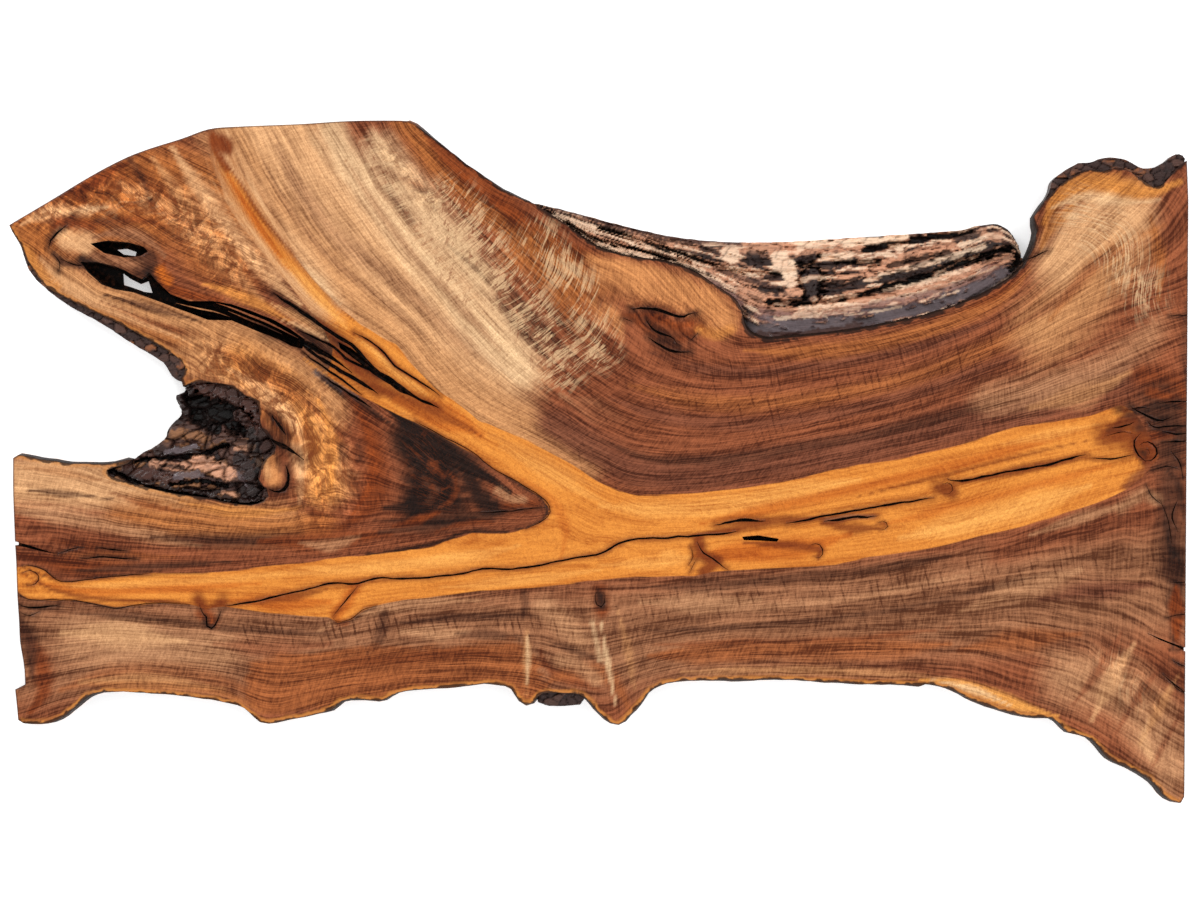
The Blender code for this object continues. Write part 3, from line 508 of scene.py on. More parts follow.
    ("mahogany", 9, 0.9, 0.8, [(540, 650), (552, 672), (600, 690)]),
    ("red_brown", 14, 0.9, 0.8, [(540, 690), (560, 676), (600, 672), (620, 690), (630, 712)]),
    ("tan", 6, 0.9, 0.7, [(526, 626), (527, 660), (526, 694)]),
    ("grey_tan", 16, 0.9, 0.8, [(545, 608), (562, 622), (580, 640)]),
    ("grey_tan", 9, 0.9, 0.8, [(560, 660), (580, 666), (596, 680)]),
    ("deep_brown", 5, 0.9, 0.7, [(548, 642), (580, 652), (604, 664)]),
    ("tan", 6, 0.95, 0.55, [(618, 612), (628, 650), (634, 690)]),
    ("cream", 3.4, 0.9, 0.7, [(601, 622), (605, 648), (611, 680), (616, 706)]),
    ("cream", 3.2, 0.9, 0.5, [(592, 622), (597, 644), (600, 660)]),
    ("cream", 3.4, 0.9, 0.6, [(526, 632), (528, 656), (527, 684)]),
    ("grey_tan", 13, 0.9, 0.7, [(640, 602), (700, 604), (760, 600)]),
    ("deep_brown", 8, 0.9, 0.7, [(640, 588), (720, 584), (800, 578), (880, 568), (950, 556)]),
    ("deep_brown", 5, 0.9, 0.65, [(640, 632), (720, 628), (800, 622), (880, 612), (960, 596), (1060, 570)]),
    ("grey_tan", 6, 0.9, 0.4, [(680, 612), (780, 606), (880, 594), (980, 572)]),
    ("red_brown", 16, 0.9, 0.9, [(650, 656), (760, 650), (870, 648), (950, 644)]),
    ("mahogany", 4, 0.9, 0.6, [(640, 646), (740, 642), (860, 638), (950, 628)]),
    ("tan", 6, 0.9, 0.6, [(680, 672), (780, 671), (880, 674), (950, 678)]),
    ("grey_tan", 16, 0.9, 0.75, [(960, 612), (1020, 590), (1080, 570)]),
    ("heart", 20, 0.9, 0.8, [(1000, 550), (1070, 530), (1130, 512)]),
    ("grey_tan", 9, 0.9, 0.8, [(1030, 535), (1090, 516), (1140, 500)]),
    ("purple_brown", 15, 0.9, 0.85, [(1040, 600), (1100, 590), (1150, 584)]),
    ("red_brown", 15, 0.9, 0.8, [(960, 650), (1020, 640), (1080, 634)]),
    ("grey_tan", 40, 0.9, 0.9, [(1070, 680), (1120, 690), (1150, 720), (1172, 770)]),
    ("pale_tan", 12, 0.95, 0.6, [(1134, 644), (1112, 680), (1092, 720)]),
    ("heart", 8, 0.95, 0.75, [(1122, 632), (1098, 672), (1072, 706)]),
    ("heart", 8, 0.95, 0.75, [(1166, 664), (1140, 692), (1116, 734)]),
    ("tan", 9, 0.95, 0.8, [(1178, 676), (1164, 700), (1140, 744)]),
    ("pale_tan", 7, 0.95, 0.6, [(1150, 716), (1144, 740), (1156, 766)]),
    ("heart", 6, 0.95, 0.7, [(1182, 712), (1166, 740), (1150, 772)]),
    ("honey_light", 8, 0.8, 0.95, [(920, 680), (960, 684), (1010, 702), (1058, 717)]),
    ("cream", 5, 0.8, 0.75, [(930, 680), (975, 690), (1010, 705)]),
    # The dark right end.
    ("mahogany", 18, 0.9, 0.9, [(1142, 375), (1168, 385), (1186, 395)]),
    ("deep_brown", 24, 0.9, 0.95, [(1158, 400), (1174, 430), (1168, 500), (1174, 570)]),
    ("black_brown", 7, 0.8, 0.8, [(1118, 418), (1140, 412), (1165, 404), (1186, 410)]),
    ("black_brown", 6, 0.8, 0.75, [(1150, 428), (1170, 432), (1188, 436)]),
    ("black_brown", 7, 0.9, 0.75, [(1130, 406), (1146, 414), (1162, 419)]),
    ("black_brown", 6, 0.9, 0.7, [(1166, 470), (1178, 482), (1184, 520)]),
    ("black_brown", 6, 0.9, 0.7, [(1166, 524), (1172, 548), (1180, 560)]),
    ("rust", 6, 0.8, 0.7, [(1150, 392), (1170, 398)]),
    ("rust", 6, 0.8, 0.8, [(1148, 436), (1172, 434)]),
    ("grey_tan", 9, 0.9, 0.8, [(1120, 508), (1145, 492), (1156, 500)]),
    ("black_brown", 8, 0.8, 0.6, [(1168, 540), (1178, 570), (1180, 600)]),
    ("deep_brown", 12, 0.8, 0.9, [(1176, 560), (1176, 620), (1172, 650)]),
    ("rust", 11, 0.7, 0.9, [(1176, 586), (1177, 640)]),
    ("deep_brown", 9, 0.9, 0.6, [(1186, 300), (1186, 390)]),
    # Small knots.
    ("rust", 10, 0.8, 0.95, [(204, 614), (212, 622)]),
    ("black_brown", 4, 0.7, 0.9, [(204, 622), (212, 627)]),
    ("mahogany", 10, 0.8, 0.9, [(600, 590), (602, 612)]),
    ("black_brown", 6, 0.7, 0.95, [(600, 594), (602, 604)]),
    ("warm_brown", 8, 0.8, 0.9, [(272, 418), (288, 434)]),
    ("black_brown", 3.5, 0.7, 0.95, [(273, 418), (280, 425), (286, 433)]),
    ("rust", 5, 0.8, 0.9, [(338, 622), (346, 622)]),
    ("mahogany", 6, 0.9, 0.7, [(206, 130), (230, 140), (228, 150)]),
)

# Brush strokes on the sapwood.
SAP_STROKES = (
    ("pale_tan", 34, 0.7, 1.0, [(214, 125), (228, 170), (252, 212), (296, 268), (320, 296)]),
    ("honey", 12, 0.9, 0.95, [(212, 150), (230, 180), (258, 222), (292, 264), (330, 300)]),
    ("amber", 8, 0.8, 0.95, [(224, 166), (246, 204), (276, 246), (310, 286), (345, 318)]),
    ("deep_amber", 4, 0.8, 0.85, [(216, 152), (236, 190), (262, 232), (290, 270)]),
    ("rust", 12, 0.6, 0.98, [(203, 126), (212, 138), (226, 146)]),
    ("rust", 6, 0.7, 0.9, [(208, 140), (218, 156), (226, 168)]),
    ("rust", 3, 0.8, 0.9, [(222, 158), (240, 182), (258, 212), (290, 250), (330, 296), (366, 330)]),
    ("pale_tan", 13, 0.8, 0.8, [(280, 268), (300, 290), (318, 308)]),
    ("honey_light", 10, 0.9, 0.9, [(284, 260), (304, 280), (322, 300), (346, 328)]),
    ("deep_brown", 12, 0.8, 0.92, [(300, 306), (322, 326), (345, 350), (362, 376)]),
    ("rust", 9, 0.8, 0.9, [(336, 352), (372, 382), (412, 408)]),
    ("black_brown", 5, 0.8, 0.9, [(322, 330), (350, 352), (372, 374), (392, 384)]),
    ("amber", 12, 0.7, 0.95, [(356, 340), (376, 354), (402, 380), (440, 406)]),
    ("honey_light", 5, 0.7, 0.95, [(356, 338), (374, 350), (398, 374), (428, 396)]),
    ("rust", 3, 0.7, 0.9, [(354, 334), (372, 343), (386, 356), (398, 368), (422, 384)]),
    ("deep_amber", 17, 0.35, 0.75, [(396, 400), (430, 412), (462, 424), (480, 435)]),
    ("rust", 4, 0.8, 0.7, [(388, 390), (420, 406), (458, 424), (482, 436)]),
    ("rust", 12, 0.2, 0.42, [(372, 386), (410, 402), (445, 416), (474, 431)]),
    ("honey", 6, 0.8, 0.8, [(400, 412), (440, 436), (470, 452)]),
    ("honey", 10, 0.9, 0.6, [(490, 434), (540, 460), (600, 490)]),
    ("honey_light", 9, 0.9, 0.75, [(500, 446), (560, 480), (610, 505)]),
    ("deep_amber", 8, 0.9, 0.6, [(520, 478), (552, 500), (566, 530), (560, 560)]),
    ("honey_light", 13, 0.9, 0.85, [(600, 506), (660, 510), (730, 504), (800, 490), (860, 480)]),
    ("honey_light", 9, 0.9, 0.7, [(600, 566), (680, 560), (660, 556), (720, 562)]),
    ("honey_light", 9, 0.9, 0.7, [(300, 574), (400, 566), (480, 556), (520, 545)]),
    ("honey_light", 8, 0.9, 0.7, [(440, 588), (520, 580), (600, 570)]),
    ("deep_amber", 8, 0.9, 0.8, [(700, 524), (780, 506), (860, 488), (950, 466), (1060, 438)]),
    ("rust", 2.5, 0.8, 0.7, [(860, 496), (940, 476), (1020, 456), (1090, 440)]),
    ("rust", 7, 0.8, 0.85, [(690, 536), (740, 528), (780, 520), (830, 518)]),
    ("deep_amber", 15, 0.7, 0.9, [(694, 556), (740, 552), (800, 548), (850, 534)]),
    ("rust", 9, 0.7, 0.95, [(699, 540), (702, 556), (716, 562), (704, 572)]),
    ("rust", 7, 0.8, 0.9, [(745, 543), (780, 545), (822, 550), (818, 560)]),
    ("rust", 8, 0.8, 0.85, [(820, 522), (850, 528), (880, 528)]),
    ("grey_tan", 3, 0.6, 0.95, [(826, 520), (850, 517), (874, 516)]),
    ("deep_amber", 7, 0.9, 0.7, [(880, 525), (960, 506), (1040, 484), (1110, 466)]),
    ("honey_light", 17, 0.9, 1.0, [(900, 538), (980, 520), (1060, 496), (1090, 486)]),
    ("honey_light", 7, 0.9, 0.6, [(1000, 445), (1060, 432), (1100, 424)]),
    ("rust", 10, 0.8, 0.9, [(938, 488), (952, 492)]),
    ("rust", 7, 0.8, 0.8, [(960, 482), (1000, 474), (1050, 464), (1090, 456)]),
    ("rust", 20, 0.9, 0.95, [(1106, 434), (1130, 438), (1160, 448)]),
    ("mahogany", 14, 0.9, 0.95, [(1112, 428), (1128, 416), (1142, 424), (1152, 446), (1146, 476)]),
    ("black_brown", 5, 0.8, 0.9, [(1110, 430), (1124, 426), (1140, 418)]),
    ("deep_brown", 13, 0.9, 0.97, [(1138, 408), (1156, 428), (1166, 452), (1160, 480)]),
    ("deep_brown", 9, 0.9, 0.9, [(1116, 406), (1130, 412), (1140, 428)]),
    ("black_brown", 6, 0.8, 0.9, [(1136, 440), (1147, 446), (1143, 458)]),
    ("rust", 7, 0.8, 0.9, [(1138, 442), (1156, 444)]),
    ("black_brown", 5, 0.7, 0.9, [(1138, 452), (1146, 462)]),
    ("heart", 9, 0.9, 0.9, [(1128, 486), (1144, 472), (1156, 462)]),
    ("deep_amber", 6, 0.9, 0.8, [(20, 574), (45, 584), (100, 592), (180, 588), (260, 584)]),
    ("honey_light", 5, 0.9, 0.6, [(60, 588), (160, 582), (240, 578), (330, 568), (420, 560), (500, 548)]),
    ("deep_amber", 14, 0.8, 0.85, [(230, 600), (290, 602), (330, 602)]),
    ("deep_amber", 8, 0.7, 0.9, [(356, 586), (346, 602), (336, 616)]),
    ("rust", 6, 0.8, 0.8, [(326, 590), (300, 596), (260, 603)]),
    ("rust", 10, 0.8, 0.95, [(198, 600), (208, 612), (222, 602)]),
    ("rust", 3, 0.8, 0.85, [(18, 570), (34, 580), (60, 592), (110, 600), (180, 600)]),
    ("deep_brown", 2.5, 0.8, 0.7, [(20, 566), (60, 580), (110, 577), (160, 574), (220, 572)]),
)

# Where the wood has a strong figure: feathered pale strokes, ticks across the grain, and burl. Each zone
# has a half width, a softness, a strength and a line.
HATCHED = (
    (40, 0.9, 0.9, [(450, 205), (500, 275), (545, 335), (560, 362)]),
    (32, 0.9, 0.75, [(540, 240), (585, 300), (600, 350)]),
    (22, 0.9, 0.45, [(370, 150), (410, 220), (470, 300)]),
    (44, 0.9, 0.55, [(1085, 215), (1115, 245), (1140, 290)]),
    (30, 0.9, 0.2, [(110, 205), (150, 205), (200, 235)]),
    (30, 0.9, 0.22, [(1110, 660), (1150, 720)]),
)
COMBED = (
    (15, 0.9, 1.0, [(240, 630), (300, 634), (350, 630), (450, 622)]),
    (14, 0.9, 0.9, [(505, 628), (565, 626)]),
    (26, 0.9, 0.6, [(650, 600), (800, 596), (950, 580), (1080, 560)]),
    (46, 0.9, 0.5, [(720, 400), (850, 390), (980, 350)]),
)
BURLED = (
    (48, 0.9, 1.0, [(50, 205), (110, 190), (180, 215), (235, 268)]),
    (42, 0.9, 1.0, [(215, 360), (270, 390), (312, 440), (318, 500)]),
    (36, 0.9, 0.8, [(300, 400), (340, 440), (350, 500)]),
    (26, 0.7, 0.7, [(420, 450), (440, 500)]),
    (20, 0.9, 0.8, [(640, 310), (700, 325)]),
    (22, 0.9, 0.5, [(1110, 660), (1150, 700)]),
    (18, 0.9, 0.6, [(390, 150), (430, 200)]),
)

# Brush strokes on the bark: colour, half width, softness, strength, height in millimetres, shine, line. The
# crack strokes sink clefts and paint them near black, partly dark bark and partly painted shade.
SADDLE_STROKES = (
    ("bark_brown", 9, 0.9, 0.9, 41, 0, [(560, 216), (620, 234), (700, 252), (780, 256), (860, 262)]),
    ("inner_bark", 8, 0.9, 0.9, 41, 0, [(575, 222), (620, 243), (680, 256), (735, 280), (770, 300)]),
    ("pale_bark_and_highlight", 5, 0.9, 0.95, 42, 0.4, [(556, 216), (590, 227), (640, 243), (700, 259)]),
    ("inner_bark", 8, 0.9, 0.9, 41, 0.2, [(640, 236), (700, 246), (770, 248), (860, 245)]),
    ("pale_bark_and_highlight", 4, 0.9, 0.8, 41, 0.3, [(600, 244), (650, 256), (700, 272), (735, 290)]),
    ("plum", 3.5, 1.2, 0.95, 42, 0.4, [(540, 203), (587, 217), (629, 228), (680, 239), (740, 245)]),
    ("plum", 5, 1.2, 0.8, 41, 0.3, [(694, 254), (720, 266), (744, 276), (772, 284)]),
    ("crack", 1.8, 0.8, 1.0, 28, 0, [(566, 221), (590, 236), (640, 250), (690, 262)]),
    ("crack", 2.2, 0.8, 0.95, 28, 0, [(600, 228), (660, 247), (730, 268), (780, 274)]),
    ("bark_dark", 8, 0.8, 0.9, 42, 0.1, [(706, 254), (760, 262), (840, 262), (900, 250), (960, 238),
                                         (1000, 232)]),
    ("inner_bark", 10, 0.8, 0.9, 40, 0.3, [(745, 296), (790, 306), (840, 306), (900, 296), (960, 278),
                                           (1003, 264), (1017, 254)]),
    ("pale_bark_and_highlight", 4, 0.9, 0.85, 40, 0.4, [(800, 308), (880, 300), (940, 286), (985, 270)]),
    ("bark_dark", 6, 0.8, 0.95, 43, 0.2, [(812, 298), (860, 284), (920, 268), (970, 252), (1010, 238)]),
    ("crack", 3.6, 0.7, 1.0, 22, 0, [(770, 303), (824, 301), (887, 287), (928, 275), (967, 261), (994, 252),
                                     (1014, 246)]),
    ("inner_bark", 9, 0.7, 0.95, 42, 0.2, [(872, 268), (910, 260), (948, 246)]),
    ("pale_bark_and_highlight", 3, 0.9, 0.7, 42, 0.3, [(880, 274), (915, 266), (950, 256), (985, 246)]),
    ("bark_dark", 3, 0.8, 0.8, 34, 0, [(890, 266), (920, 258), (950, 252)]),
    ("pale_bark_and_highlight", 4, 0.8, 0.9, 41, 0.2, [(800, 244), (850, 242), (905, 238)]),
    ("bark_brown", 5, 0.9, 0.8, 41, 0.2, [(960, 230), (990, 230), (1010, 240)]),
    ("inner_bark", 5, 0.9, 0.7, 41, 0.5, [(984, 234), (1000, 236)]),
    ("crack", 3, 0.8, 0.95, 28, 0, [(866, 250), (900, 243), (932, 237), (972, 231)]),
    ("crack", 3, 0.8, 0.95, 28, 0, [(820, 256), (846, 262), (880, 262)]),
    ("pale_bark_and_highlight", 9, 0.6, 0.95, 42, 0.3, [(784, 262), (790, 278)]),
    ("pale_bark_and_highlight", 5, 0.8, 0.7, 42, 0.2, [(826, 258), (850, 256)]),
    ("crack", 13, 0.4, 1.0, 30, 0, [(812, 276), (812, 294)]),
    ("bark_dark", 9, 0.4, 1.0, 44, 0.3, [(812, 276), (812, 293)]),
    ("bark_dark", 6, 0.8, 0.8, 36, 0.2, [(735, 300), (748, 312)]),
    ("mauve", 10, 1.6, 0.85, 34, 0.35, [(762, 316), (800, 317), (850, 312), (910, 301), (960, 286),
                                        (1000, 270)]),
    ("inner_bark", 3, 0.9, 0.85, 36, 0.4, [(850, 302), (890, 295), (930, 286), (975, 273)]),
    ("pale_bark_and_highlight", 2, 0.9, 0.8, 37, 0.3, [(884, 290), (920, 283), (958, 272)]),
    ("mauve", 6, 1.2, 0.9, 40, 0.7, [(668, 268), (700, 279), (722, 290), (738, 302)]),
    ("inner_skin_and_reflection", 12, 1.5, 0.98, 30, 1.0, [(750, 329), (780, 330), (840, 326), (890, 317)]),
    ("inner_skin_and_reflection", 10, 1.4, 0.98, 30, 1.0, [(880, 318), (950, 301), (990, 284), (1012, 270)]),
    ("bark_dark", 5, 0.8, 0.85, 30, 0.8, [(741, 318), (745, 330), (754, 336)]),
    ("plum", 5, 0.9, 0.85, 30, 0.9, [(752, 337), (820, 332), (860, 326)]),
    # Painted highlights: thin pale streaks where the smooth trough catches the light.
    ("pale_bark_and_highlight", 0.9, 0.9, 0.6, 31, 0.8, [(776, 318), (800, 316.5), (826, 316)]),
    ("pale_bark_and_highlight", 0.8, 0.9, 0.6, 31, 0.8, [(846, 315), (880, 311), (902, 306)]),
    ("pale_bark_and_highlight", 0.8, 0.9, 0.6, 31, 0.8, [(930, 300), (960, 291)]),
    ("bark_dark", 2, 0.9, 0.9, 30, 0.6, [(762, 339), (839, 333), (905, 321), (967, 302), (1008, 281)]),
    ("bark_dark", 4, 0.8, 0.9, 30, 0.5, [(960, 304), (990, 292), (1012, 276), (1020, 262)]),
    ("crack", 3, 0.8, 0.95, 24, 0, [(1012, 270), (1020, 258), (1019, 248)]),
)
POCKET_STROKES = (
    ("bark_brown", 14, 0.9, 0.9, 38, 0.1, [(150, 448), (190, 432), (215, 440), (245, 450)]),
    ("chip_brown", 5, 0.7, 0.85, 41, 0, [(166, 438), (180, 433), (206, 438)]),
    ("chip_brown", 3.5, 0.7, 0.8, 41, 0, [(212, 448), (224, 444)]),
    ("inner_bark", 3, 0.7, 0.7, 41, 0, [(236, 449), (252, 447)]),
    ("bark_brown", 5, 0.8, 0.8, 42, 0.1, [(222, 452), (240, 458)]),
    ("plum", 11, 0.7, 0.95, 42, 0.5, [(200, 389), (225, 391), (245, 402), (255, 420)]),
    # The deep hollow, sunk and painted black: dark bark with painted shade.
    ("crack", 13, 0.7, 1.0, 13, 0, [(190, 402), (205, 409), (225, 414), (240, 424)]),
    ("crack", 8, 0.7, 1.0, 16, 0, [(196, 418), (214, 428)]),
    ("plum", 6, 0.7, 0.8, 40, 0.3, [(236, 414), (248, 424), (252, 434)]),
    ("bark_dark", 4, 0.6, 1.0, 42, 0.4, [(177, 396), (182, 404), (184, 412)]),
    ("bark_dark", 4, 0.6, 1.0, 42, 0.4, [(188, 384), (190, 392)]),
    ("bark_dark", 7, 0.7, 0.9, 41, 0.7, [(158, 452), (175, 452), (193, 448)]),
    # A painted blue-grey reflection on a glossy plate.
    ("inner_skin_and_reflection", 3, 0.8, 0.8, 41, 1.0, [(166, 452), (180, 450), (194, 446)]),
    ("crack", 2.4, 0.7, 1.0, 26, 0, [(135, 462), (160, 458), (195, 456), (226, 444)]),
    ("inner_bark", 5.5, 0.8, 0.8, 40, 0.1, [(153, 464), (175, 467), (201, 463)]),
    ("bark_dark", 2.5, 0.8, 0.8, 34, 0, [(160, 466), (182, 468)]),
    ("inner_bark", 8, 0.6, 0.95, 41, 0.4, [(197, 462), (215, 468), (228, 475)]),
    ("plum", 8, 0.8, 0.95, 36, 0.6, [(125, 471), (150, 475), (175, 479)]),
    # A painted blue-grey highlight on a glossy plate.
    ("inner_skin_and_reflection", 5, 0.8, 0.85, 38, 1.0, [(176, 476), (198, 474)]),
    ("crack", 2.2, 0.7, 1.0, 26, 0, [(170, 485), (198, 481), (225, 486)]),
    ("bark_dark", 9, 0.7, 0.95, 40, 0.3, [(241, 460), (251, 475), (254, 490)]),
    # A painted highlight on the dark glossy plates.
    ("inner_skin_and_reflection", 2.4, 0.8, 0.5, 40, 1.0, [(238, 474), (246, 486)]),
    ("crack", 6, 0.8, 0.8, 37, 0.2, [(250, 432), (257, 460), (262, 484)]),
    ("inner_bark", 3, 0.8, 0.7, 38, 0.4, [(222, 493), (236, 496)]),
    ("bark_dark", 4.5, 0.7, 0.95, 36, 0.6, [(110, 471), (150, 486), (200, 495), (240, 502), (262, 500)]),
    ("crack", 2, 0.7, 1.0, 28, 0, [(108, 470), (150, 488), (200, 498), (240, 505), (262, 503)]),
)


def plan(x, y, z=0.0):
    """A point of the plan, at a height above the underside."""
    return Vector(((x - PLAN_MIDDLE[0]) * UNIT, (PLAN_MIDDLE[1] - y) * UNIT, z))


def linear(hex_colour):
    """A hex colour, as it looks on a screen, as linear red, green and blue."""
    values = [int(hex_colour[i : i + 2], 16) / 255 for i in (1, 3, 5)]
    return tuple(v / 12.92 if v <= 0.04045 else ((v + 0.055) / 1.055) ** 2.4 for v in values)


def on_plan(flat):
    """Places on the plan for the slab's own X and Y, in metres."""
    return np.c_[flat[:, 0] / UNIT + PLAN_MIDDLE[0], PLAN_MIDDLE[1] - flat[:, 1] / UNIT]


def eased(share):
    """A share from 0 to 1 that starts and ends gently."""
    return share * share * (3 - 2 * share)


def sides_of(curve):
    """Unit steps out to one side of each place on a curve."""
    run = np.gradient(curve, axis=0)
    return np.c_[run[:, 1], -run[:, 0]] / np.hypot(*run.T)[:, None]


def plain_tone(places, colours, colour):
    """One colour for all the places."""
    return np.tile(np.array(getattr(colours, colour)[:3]), (len(places), 1))


def tinted(tone, colours, colour, share):
    """The tones with a colour laid over them by a share from 0 to 1."""
    return tone + (np.array(getattr(colours, colour)[:3]) - tone) * np.clip(share, 0, 1)[:, None]


def lattice(ix, iy, seed):
    """A repeatable value from 0 to 1 for each whole-numbered place."""
    mixed = (ix * 374761393 + iy * 668265263 + seed * 974634777) & 0xFFFFFFFF
    mixed = ((mixed ^ (mixed >> 13)) * 1274126177) & 0xFFFFFFFF
    return ((mixed ^ (mixed >> 16)) & 0xFFFF) / 65535.0


def clouds(x, y, seed, octaves=3):
    """Soft noise from about -0.5 to 0.5 at places given by two arrays."""
    total, size = np.zeros_like(x), 1.0
    for octave in range(octaves):
        fx, fy = np.floor(x), np.floor(y)
        ix, iy = fx.astype(np.int64), fy.astype(np.int64)
        tx, ty = eased(x - fx), eased(y - fy)
        low = lattice(ix, iy, seed + octave) * (1 - tx) + lattice(ix + 1, iy, seed + octave) * tx
        high = lattice(ix, iy + 1, seed + octave) * (1 - tx) + lattice(ix + 1, iy + 1, seed + octave) * tx
        total += size * (low * (1 - ty) + high * ty - 0.5)
        x, y, size = x * 2.03 + 17.1, y * 2.03 + 9.7, size * 0.5
    return total / (2 - 2.0 ** (1 - octaves))


def smooth_line(points, step):
    """Places evenly spaced along a smooth curve through plan points."""
    p = np.array(points, float)
    before = np.vstack([p[:1], p[:-1]])
    after = np.vstack([p[1:], p[-1:]])
    tangent = (after - before) / 2
    fine = []
    for i in range(len(p) - 1):
        t = np.linspace(0, 1, 9)[:-1, None]
        fine.append(
            p[i] * (2 * t**3 - 3 * t**2 + 1) + tangent[i] * (t**3 - 2 * t**2 + t)
            + p[i + 1] * (3 * t**2 - 2 * t**3) + tangent[i + 1] * (t**3 - t**2)
        )
    fine = np.vstack([*fine, p[-1:]])
    runs = np.r_[0, np.cumsum(np.hypot(*np.diff(fine, axis=0).T))]
    count = max(2, round(runs[-1] / step))
    at = np.linspace(0, runs[-1], count + 1)
    return np.c_[np.interp(at, runs, fine[:, 0]), np.interp(at, runs, fine[:, 1])]


def gap_to(places, line, closed=False):
    """How far each place lies from a line of points, and how many pieces along the line it is nearest."""
    line = np.asarray(line, float)
    ends = np.roll(line, -1, axis=0) if closed else line[1:]
    starts = line if closed else line[:-1]
    best = np.full(len(places), 1e9)
    which = np.zeros(len(places))
    for i, (a, b) in enumerate(zip(starts, ends)):
        run = b - a
        share = np.clip(((places - a) @ run) / max(run @ run, 1e-9), 0, 1)
        gap = np.hypot(*(places - a - share[:, None] * run).T)
        closer = gap < best
        best[closer] = gap[closer]
        which[closer] = i + share[closer] * 0.999
    return best, which


def is_inside(places, outline):
    """Which places lie inside a closed outline."""
    line = np.asarray(outline, float)
    found = np.zeros(len(places), bool)
    x, y = places.T
    for (ax, ay), (bx, by) in zip(line, np.roll(line, -1, axis=0)):
        if ay == by:
            continue
        found ^= ((ay > y) != (by > y)) & (x < (bx - ax) * (y - ay) / (by - ay) + ax)
    return found


def grain_field(places, guides, length, width):
    """Grain coordinates in millimetres, along and across, drawn smoothly between guide lines."""
    spots, values = [], []
    for level, line in guides:
        curve = smooth_line(line, 45)
        along = np.linspace(0, 1, len(curve))
        spots.append(curve)
        values.append(np.c_[along * length, np.full(len(curve), level * width)])
    spots, values = np.vstack(spots) / 100, np.vstack(values)

    def bend(gap):
        """How one guide point pulls on a place this far away."""
        return np.where(gap > 0, gap**2 * np.log(np.maximum(gap, 1e-9)), 0)

    count = len(spots)
    system = np.zeros((count + 3, count + 3))
    system[:count, :count] = bend(np.hypot(*(spots[:, None] - spots[None]).transpose(2, 0, 1)))
    system[:count, :count] += 0.02 * np.eye(count)
    system[:count, count:] = np.c_[np.ones(count), spots]
    system[count:, :count] = system[:count, count:].T
    weights = np.linalg.solve(system, np.vstack([values, np.zeros((3, 2))]))
    at = places / 100
    field = np.c_[np.ones(len(at)), at] @ weights[count:]
    for spot, weight in zip(spots, weights[:count]):
        field += bend(np.hypot(*(at - spot).T))[:, None] * weight
    return field


def brush(tone, places, drift, strokes, colours):
    """Paints strokes over the tones. drift moves each stroke's edge in and out along the grain."""
    for colour, half_width, softness, strength, line in strokes:
        curve = smooth_line(line, 14)
        gap, along = gap_to(places, curve)
        pieces = len(curve) - 1
        if pieces > 3 and half_width < 18:
            # Long thin strokes have slim ends.
            from_end = np.minimum(along, pieces - along) + 0.4
            gap = gap / np.clip(from_end / min(4, pieces / 2), 0.25, 1)
        gap = gap + drift * min(half_width, 24) * 0.6
        start = half_width * (1 - softness)
        share = np.clip((half_width * 1.15 - gap) / max(half_width * 1.15 - start, 1e-6), 0, 1)
        tone = tinted(tone, colours, colour, eased(share) * strength)
    return tone


def shape_points(mesh):
    """The mesh's points: their places on the plan, and their heights in metres."""
    flat = np.empty(len(mesh.vertices) * 3)
    mesh.vertices.foreach_get("co", flat)
    points = flat.reshape(-1, 3)
    return on_plan(points), points[:, 2]


def keep(mesh, name, kind, values):
    """Stores values on the mesh's points, for its material to read."""
    attribute = mesh.attributes.new(name, kind, "POINT")
    if kind == "FLOAT":
        attribute.data.foreach_set("value", np.ascontiguousarray(values, np.float32))
    elif kind == "FLOAT_VECTOR":
        attribute.data.foreach_set("vector", np.ascontiguousarray(values, np.float32).ravel())
    else:
        four = np.c_[values, np.ones(len(values))]
        attribute.data.foreach_set("color", np.ascontiguousarray(four, np.float32).ravel())


def as_object(name, bm):
    """The bmesh as an object of the scene, its faces pointing out."""
    bmesh.ops.recalc_face_normals(bm, faces=bm.faces)
    mesh = bpy.data.meshes.new(name)
    bm.to_mesh(mesh)
    bm.free()
    obj = bpy.data.objects.new(name, mesh)
    bpy.context.scene.collection.objects.link(obj)
    return obj


def add_prism(bm, outline, low, high, lower_outline=None):
    """Adds an upright body over a closed outline of plan points. Its foot may have another outline."""
    top = bm.faces.new([bm.verts.new(plan(x, y, high)) for x, y in outline])
    grown = bmesh.ops.extrude_face_region(bm, geom=[top])["geom"]
    foot = next(item for item in grown if isinstance(item, bmesh.types.BMFace))
    for vert, (x, y) in zip(foot.verts, lower_outline if lower_outline is not None else outline):
        vert.co = plan(x, y, low)


def gridded_block(name, low, high, cell, height_at=None, coarse_cell=None):
    """A closed block on the plan with a gridded top, which height_at may shape, and a coarser foot."""
    bm = bmesh.new()
    rims = []
    for size, z in ((cell, high[2]), (coarse_cell or cell * 4, low[2])):
        counts = [max(2, math.ceil((high[k] - low[k]) / size)) for k in (0, 1)]
        made = bmesh.ops.create_grid(bm, x_segments=counts[0], y_segments=counts[1], size=0.5)["verts"]
        for vert in made:
            vert.co = [low[k] + (vert.co[k] + 0.5) * (high[k] - low[k]) for k in (0, 1)] + [z]
        rims.append({edge for vert in made for edge in vert.link_edges if edge.is_boundary})
        if height_at and z == high[2]:
            places = on_plan(np.array([vert.co[:2] for vert in made]))
            for vert, height in zip(made, height_at(places)):
                vert.co.z = height
    bmesh.ops.bridge_loops(bm, edges=[edge for rim in rims for edge in rim])
    bmesh.ops.triangulate(bm, faces=[face for face in bm.faces if len(face.verts) > 4])
    return as_object(name, bm)


